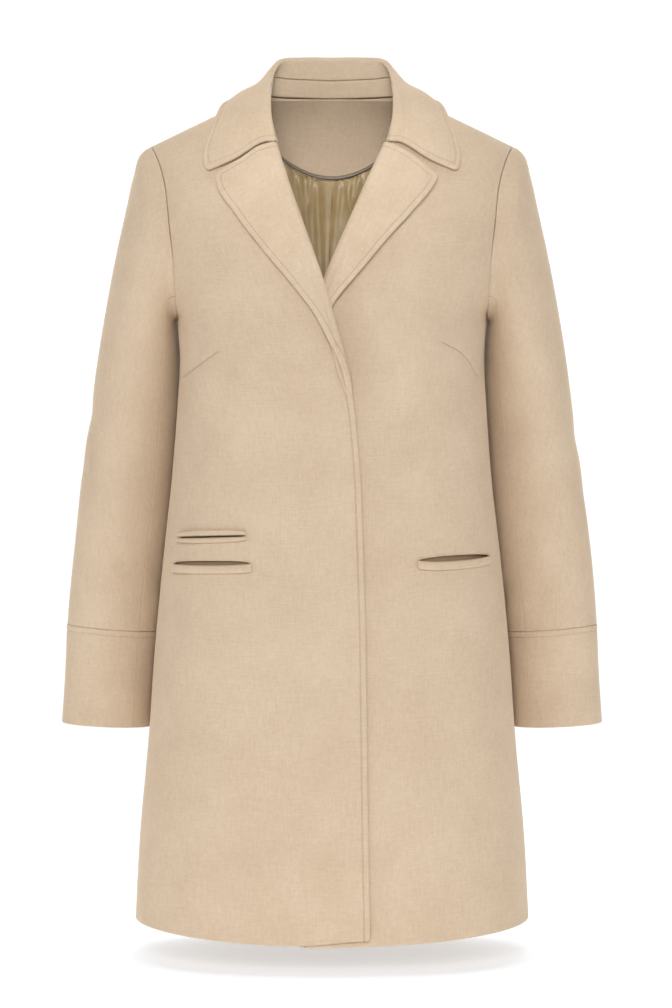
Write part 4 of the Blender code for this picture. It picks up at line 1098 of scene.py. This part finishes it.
stand_top = joint - unit(joint - foot) * apart
stand_at = np.linspace(0, 1, 12)[:, None, None]
stand = both_sides((foot + (stand_top - foot) * stand_at).swapaxes(0, 1))
stand_out = normals(stand)
if stand_out[len(stand) // 2, 0, 1] > 0:
    stand_out = -stand_out
ends = {"free": ["top", "bottom"], "seams": ["left", "right"]}
stand_piece = sew("collar_stand_piece", stand, stand_out, STAND_WALL, **ends)
settle(
    stand_piece, camel, "collar_stand", "wool_inside",
    flat=(0.44, 0.019), area=0.0039, held="hung", rests_on=["back_panel"],
)

# ============================================================ inside the back: facing, piping, lining
# A wool neck facing with a curved lower edge, bound with narrow dark satin piping, and below it a
# bronze satin lining, gathered in under the piping and sewn down the centre back. It hangs loose.
FACING_DEPTH, FACING_RISE = 0.0884, 7.07
FACING_X, FACING_LENGTH, FACING_STEP = 0.0920, 0.09, 0.0036
FACING_OVER = 0.0034  # in its middle it reaches this far up over the neckline
PIPING_WIDTH = 0.0032
LINING_DROP, LINING_END_Z, LINING_TOP = 0.0009, -0.892, 0.014
FACING_WALL, PIPING_WALL, LINING_WALL = 0.0016, 0.0024, 0.0010
INSIDE_EASE = 0.0012


def behind_neck(x, z_line):
    return over_shoulder(x, np.minimum(z_line, ridge(x) - 0.0001))


def lower_line(x):
    """Height of the facing's lower edge."""
    return -FACING_DEPTH + FACING_RISE * x**2


def satin(name, light, deep, roughness):
    """Satin: long floats of filament yarn lie side by side, so it shines along soft streaks. That shine is
    painted into the colour, as streaks and broad pools between a lit tone and a shaded tone, and a seam is a
    painted dark line of shade.
    """
    constants = {"Roughness": roughness, "Sheen Weight": 0.25, "Sheen Tint": linear("#E6D2A0")}
    material, tree, shader = new_material(name, constants)
    grain = add(tree, "UVMap", {"uv_map": "cut"}).outputs["UV"]
    place = add(tree, "TexCoord").outputs["Object"]
    # Painted sheen and shade: streaks along the grain and broader pools lighten and darken the colour.
    streaked = add(tree, "Mapping", {"Scale": (420, 14, 1)}, {"Vector": grain}).outputs[0]
    streaks = add(tree, "TexNoise", {"Scale": 1.0, "Detail": 2.0}, {"Vector": streaked}).outputs[0]
    painted_light_pools = add(tree, "TexNoise", {"Scale": 38.0, "Detail": 2.0}, {"Vector": place}).outputs[0]
    weights = {"operation": "MULTIPLY_ADD", 1: 0.30, 2: -0.15}
    shade = add(tree, "Math", weights, {0: streaks}).outputs[0]
    clamped = {"operation": "ADD", "use_clamp": True}
    shade = add(tree, "Math", clamped, {0: shade, 1: painted_light_pools}).outputs[0]
    # Painted shade: the colour darkens along a seam.
    seam = add(tree, "Attribute", {"attribute_name": "seam"}).outputs["Fac"]
    ranges = {"interpolation_type": "SMOOTHSTEP", "From Max": 0.0011, "To Min": -0.9, "To Max": 0.0}
    seam = add(tree, "MapRange", ranges, {"Value": seam}).outputs["Result"]
    shade = add(tree, "Math", {"operation": "ADD"}, {0: shade, 1: seam}).outputs[0]
    colours = {"data_type": "RGBA", "clamp_factor": False, 6: linear(deep), 7: linear(light)}
    mixed = add(tree, "Mix", colours, {0: shade})
    tree.links.new(mixed.outputs[2], shader.inputs["Base Color"])
    bump = add(tree, "Bump", {"Strength": 0.12, "Distance": 0.0002}, {"Height": streaks})
    tree.links.new(bump.outputs["Normal"], shader.inputs["Normal"])
    return material


facing_half = spread(FACING_X, np.array([0.0]), SEAM_PLACES, FACING_STEP)
facing_x = np.concatenate([-facing_half[:0:-1], facing_half])[None, :]
facing_share = spread(FACING_LENGTH, SEAM_PLACES, SEAM_PLACES, FACING_STEP)[:, None] / FACING_LENGTH
pipe_v = behind_neck(facing_x, lower_line(facing_x) + PIPING_WIDTH)
neck_v = neckline(facing_x) + 0.0002 - FACING_OVER * np.maximum(1 - (facing_x / NECK_X) ** 2, 0)
facing_v = neck_v + (pipe_v - neck_v) * facing_share
inside = COAT_WALL + INSIDE_EASE


def inner_skin(name, x, v, hang, wall, **settings):
    """A piece that lies inside the back, showing its face to the front."""
    face = lifted(x + 0 * v, v + 0 * x, -(inside + wall + hang))
    out = lifted(x + 0 * v, v + 0 * x, -(inside + wall + hang) - 0.001) - face
    return sew(name, face, unit(out), wall, **settings)


snug = -0.0004 * (1 - smooth_step(facing_share / 0.15)) + 0 * facing_x
ends = {"free": ["left", "right"], "seams": ["top", "bottom"]}
facing = inner_skin("back_neck_facing_piece", facing_x, facing_v, snug, FACING_WALL, **ends)
settle(
    facing, camel, "back_neck_facing", "wool_inside",
    flat=(0.262, 0.094), area=0.0162, held="hung", rests_on=["collar_stand_piece"],
)

pipe_share = np.array([0, 0.04, 0.15, 0.32, 0.5, 0.68, 0.85, 0.96, 1.0])[:, None]
pipe_low = behind_neck(facing_x, lower_line(facing_x))
pipe = pipe_v + (pipe_low - pipe_v) * pipe_share
swell = 0.0006 + 0.0005 * np.sin(math.pi * pipe_share) + 0 * facing_x
piping = inner_skin("facing_piping_piece", facing_x, pipe, swell, PIPING_WALL - 0.0008, free=ALL_ROUND)
# The piping's two colours are a lit and a shaded tone, with painted sheen and shade between them.
settle(
    piping, satin("dull plum-grey satin piping", "#94897C", "#6E645A", 0.45), "facing_piping", "piping",
    flat=(0.264, 0.012), area=0.0010, held="hung", rests_on=["back_neck_facing_piece"],
)

GATHERS = table(  # soft pleats that spring from the piping, and where each one is strongest
    "x lean length width depth",
    (-0.066, -0.20, 0.060, 0.0034, 0.0062),
    (-0.052, 0.10, 0.100, 0.0052, 0.0050),
    (-0.039, 0.22, 0.050, 0.0030, 0.0070),
    (-0.024, -0.06, 0.042, 0.0028, 0.0066),
    (-0.017, 0.04, 0.130, 0.0050, 0.0072),
    (0.009, -0.10, 0.110, 0.0044, 0.0056),
    (0.015, 0.16, 0.040, 0.0026, 0.0066),
    (0.023, -0.24, 0.060, 0.0030, 0.0070),
    (0.032, -0.30, 0.075, 0.0034, 0.0066),
    (0.047, 0.05, 0.090, 0.0046, 0.0052),
    (0.063, 0.18, 0.060, 0.0036, 0.0060),
    (-0.095, 0.02, 0.420, 0.0150, 0.0060),
    (0.090, -0.02, 0.400, 0.0160, 0.0058),
    (-0.045, 0.00, 0.520, 0.0180, 0.0050),
    (0.050, 0.01, 0.500, 0.0170, 0.0054),
)
lining_turns = np.linspace(0, 7 / 8 * math.pi / 2, 84)
share = np.sin(lining_turns)
below_z = np.arange(LINING_END_Z, ARMPIT_Z - 0.004, 0.006)[:, None]
below_x = read(BODY, "z", "half_width", below_z) * share
low_rise = HEM_RISE * share**2 * np.clip((HEM_RISE_TO - below_z) / (HEM_RISE_TO - HEM_Z), 0, 1)
below = over_shoulder(below_x, below_z + low_rise)
arm_z, arm_x = armhole(False, np.linspace(0, 1, 44))
arm_climb = 1 - over_shoulder(arm_x, arm_z) / over_shoulder(arm_x[0], ARMPIT_Z)
above_x = arm_x[:, None] * (share + (lining_turns / (math.pi / 2) - share) * arm_climb[:, None])
above_start = over_shoulder(above_x[0], ARMPIT_Z)
seam_v = neckline(above_x[-1])
above = above_start + (seam_v - above_start) * arm_climb[:, None]
stop_v = behind_neck(above_x, lower_line(above_x) - LINING_DROP)
stop_v = np.where(lower_line(above_x) < ridge(above_x) - LINING_TOP * 1.6, stop_v, LINING_TOP)
above = np.maximum(above, np.maximum(stop_v, LINING_TOP))
lining_x = np.concatenate([below_x, above_x])
lining_v = np.concatenate([below, above])
lining_x = np.concatenate([-lining_x[:, :0:-1], lining_x], axis=1)
lining_v = np.concatenate([lining_v[:, :0:-1], lining_v], axis=1)
height = coat(lining_x, lining_v)[..., 2]
fallen = np.maximum(lower_line(lining_x) - height, 0)
hang = 0.0016 + 0 * height
for gather in GATHERS:
    across = lining_x - gather.x - gather.lean * fallen
    fade = smooth_step(fallen / 0.006) * np.exp(-((fallen / gather.length) ** 2))
    hang = hang + gather.depth * 0.6 * fade * np.exp(-((across / gather.width) ** 2))
# The centre-back seam is drawn only as a painted line of shade in the satin's colour.
seam_off = np.abs(lining_x - 0.0011 + 0.045 * np.minimum(fallen, 0.1))
hang = np.clip(hang, 0.0, 0.010)
settings = {"free": ["top"], "more": {"seam": seam_off}}
lining = inner_skin("back_lining_piece", lining_x, lining_v, hang, LINING_WALL, **settings)
# The lining's two colours are a lit and a shaded tone, with painted sheen and shade between them.
settle(
    lining, satin("bronze satin lining", "#BFA678", "#8B744E", 0.42), "back_lining", "satin",
    flat=(0.50, 0.95), area=0.346, held="hung", rests_on=["facing_piping_piece"],
)

# ============================================================ the studio
# A plain pale floor just under the hem, which fades out into an even white surround. Soft lights stand
# in front and at both sides, one hangs over the floor, and a narrow one reaches in at the neck. The
# surround lights the coat more from behind. The camera stands level with the middle of the coat.
FLOOR_Z, FLOOR_HALF, FLOOR_MIDDLE_Y = -0.932, 5.0, -1.0
floor_mesh = bpy.data.meshes.new("studio_floor")
near_y, far_y = FLOOR_MIDDLE_Y - FLOOR_HALF, FLOOR_MIDDLE_Y + FLOOR_HALF
corners = [(-FLOOR_HALF, near_y), (FLOOR_HALF, near_y), (FLOOR_HALF, far_y), (-FLOOR_HALF, far_y)]
floor_mesh.from_pydata([(x, y, FLOOR_Z) for x, y in corners], [], [(0, 1, 2, 3)])
floor = bpy.data.objects.new("studio_floor", floor_mesh)
bpy.context.scene.collection.objects.link(floor)
constants = {"Base Color": linear("#E3E5E9"), "Roughness": 0.9, "Specular IOR Level": 0.1}
constants["Emission Color"] = (1, 1, 1, 1)
paper, paper_tree, paper_shader = new_material("matt white paper", constants)
# The paper glows with painted light, brighter behind the coat and fading out in front of it, which also
# lightens the shadow under the hem.
paper_place = add(paper_tree, "TexCoord").outputs["Object"]
paper_y = add(paper_tree, "SeparateXYZ", None, {"Vector": paper_place}).outputs["Y"]
SOFT = {"interpolation_type": "SMOOTHSTEP"}
ranges = {**SOFT, "From Min": -1.0, "From Max": -0.2, "To Min": 0.05, "To Max": 0.52}
painted_paper_glow = add(paper_tree, "MapRange", ranges, {"Value": paper_y}).outputs["Result"]
paper_tree.links.new(painted_paper_glow, paper_shader.inputs["Emission Strength"])
# The paper thins out in a wide ring, so no edge of it shows.
offset = add(paper_tree, "VectorMath", {1: (0, -FLOOR_MIDDLE_Y, -FLOOR_Z)}, {0: paper_place})
reach = add(paper_tree, "VectorMath", {"operation": "LENGTH"}, {0: offset.outputs["Vector"]})
ranges = {**SOFT, "From Min": 2.0, "From Max": 4.6}
thin = add(paper_tree, "MapRange", ranges, {"Value": reach.outputs["Value"]}).outputs["Result"]
clear = add(paper_tree, "BsdfTransparent").outputs["BSDF"]
faded = add(paper_tree, "MixShader", None, {0: thin, 1: paper_shader.outputs["BSDF"], 2: clear})
paper_tree.links.new(faded.outputs["Shader"], paper_tree.nodes["Material Output"].inputs["Surface"])
floor.data.materials.append(paper)

world = bpy.data.worlds.new("white surround")
world.use_nodes = True
surround = world.node_tree
toward = add(surround, "TexCoord").outputs["Generated"]
toward_y = add(surround, "SeparateXYZ", None, {"Vector": toward}).outputs["Y"]
ranges = {**SOFT, "From Min": 0.0, "From Max": 0.7, "To Min": 0.12, "To Max": 1.1}
from_there = add(surround, "MapRange", ranges, {"Value": toward_y}).outputs["Result"]
seen = add(surround, "LightPath").outputs["Is Camera Ray"]
strength = add(surround, "Mix", {3: 1.05}, {0: seen, 2: from_there}).outputs["Result"]
surround.links.new(strength, surround.nodes["Background"].inputs["Strength"])
surround.nodes["Background"].inputs["Color"].default_value = (1.0, 1.0, 1.0, 1)
bpy.context.scene.world = world
Lamp = namedtuple("Lamp", "name place aim size power")
LAMPS = (
    Lamp("front_softbox", (-0.1, -3.7, 0.55), (0.0, 0.0, -0.35), 1.4, 77),
    Lamp("left_softbox", (-3.2, -1.5, 0.3), (0.0, 0.0, -0.45), 2.6, 19),
    Lamp("right_softbox", (3.2, -1.5, 0.3), (0.0, 0.0, -0.45), 2.6, 18),
    Lamp("floor_light", (0.0, 0.2, 3.0), (0.0, 1.2, -0.9), 3.0, 50),
)
for lamp in LAMPS:
    light = bpy.data.lights.new(lamp.name, "AREA")
    light.shape, light.size, light.energy = "DISK", lamp.size, lamp.power
    stand_in = bpy.data.objects.new(lamp.name, light)
    bpy.context.scene.collection.objects.link(stand_in)
    from_lamp = np.array(lamp.aim) - np.array(lamp.place)
    stand_in.location = lamp.place
    yaw = math.atan2(from_lamp[1], from_lamp[0]) - math.pi / 2
    stand_in.rotation_euler = (math.pi / 2 + math.atan2(from_lamp[2], math.hypot(*from_lamp[:2])), 0, yaw)

snoot = bpy.data.lights.new("neck_snoot", "SPOT")
snoot.energy, snoot.spot_size, snoot.spot_blend, snoot.shadow_soft_size = 190, math.radians(4.6), 1.0, 0.12
stand_in = bpy.data.objects.new("neck_snoot", snoot)
bpy.context.scene.collection.objects.link(stand_in)
stand_in.location = (0.0, -2.8, 0.15)
stand_in.rotation_euler = (math.pi / 2 - math.atan2(0.24, 2.9), 0, 0)

FOCAL_PX, FRAME_PX, SENSOR_MM, OFF_CENTRE_PX = 2790, 1008, 36.0, 4
lens = bpy.data.cameras.new("camera")
lens.sensor_width, lens.sensor_fit = SENSOR_MM, "AUTO"
lens.lens = SENSOR_MM * FOCAL_PX / FRAME_PX
lens.shift_x = OFF_CENTRE_PX / FRAME_PX
camera = bpy.data.objects.new("camera", lens)
bpy.context.scene.collection.objects.link(camera)
camera.location = (0.0, -3.0, -0.449)
camera.rotation_euler = (math.pi / 2, 0, 0)
bpy.context.scene.camera = camera
bpy.context.scene.view_settings.view_transform = "Standard"
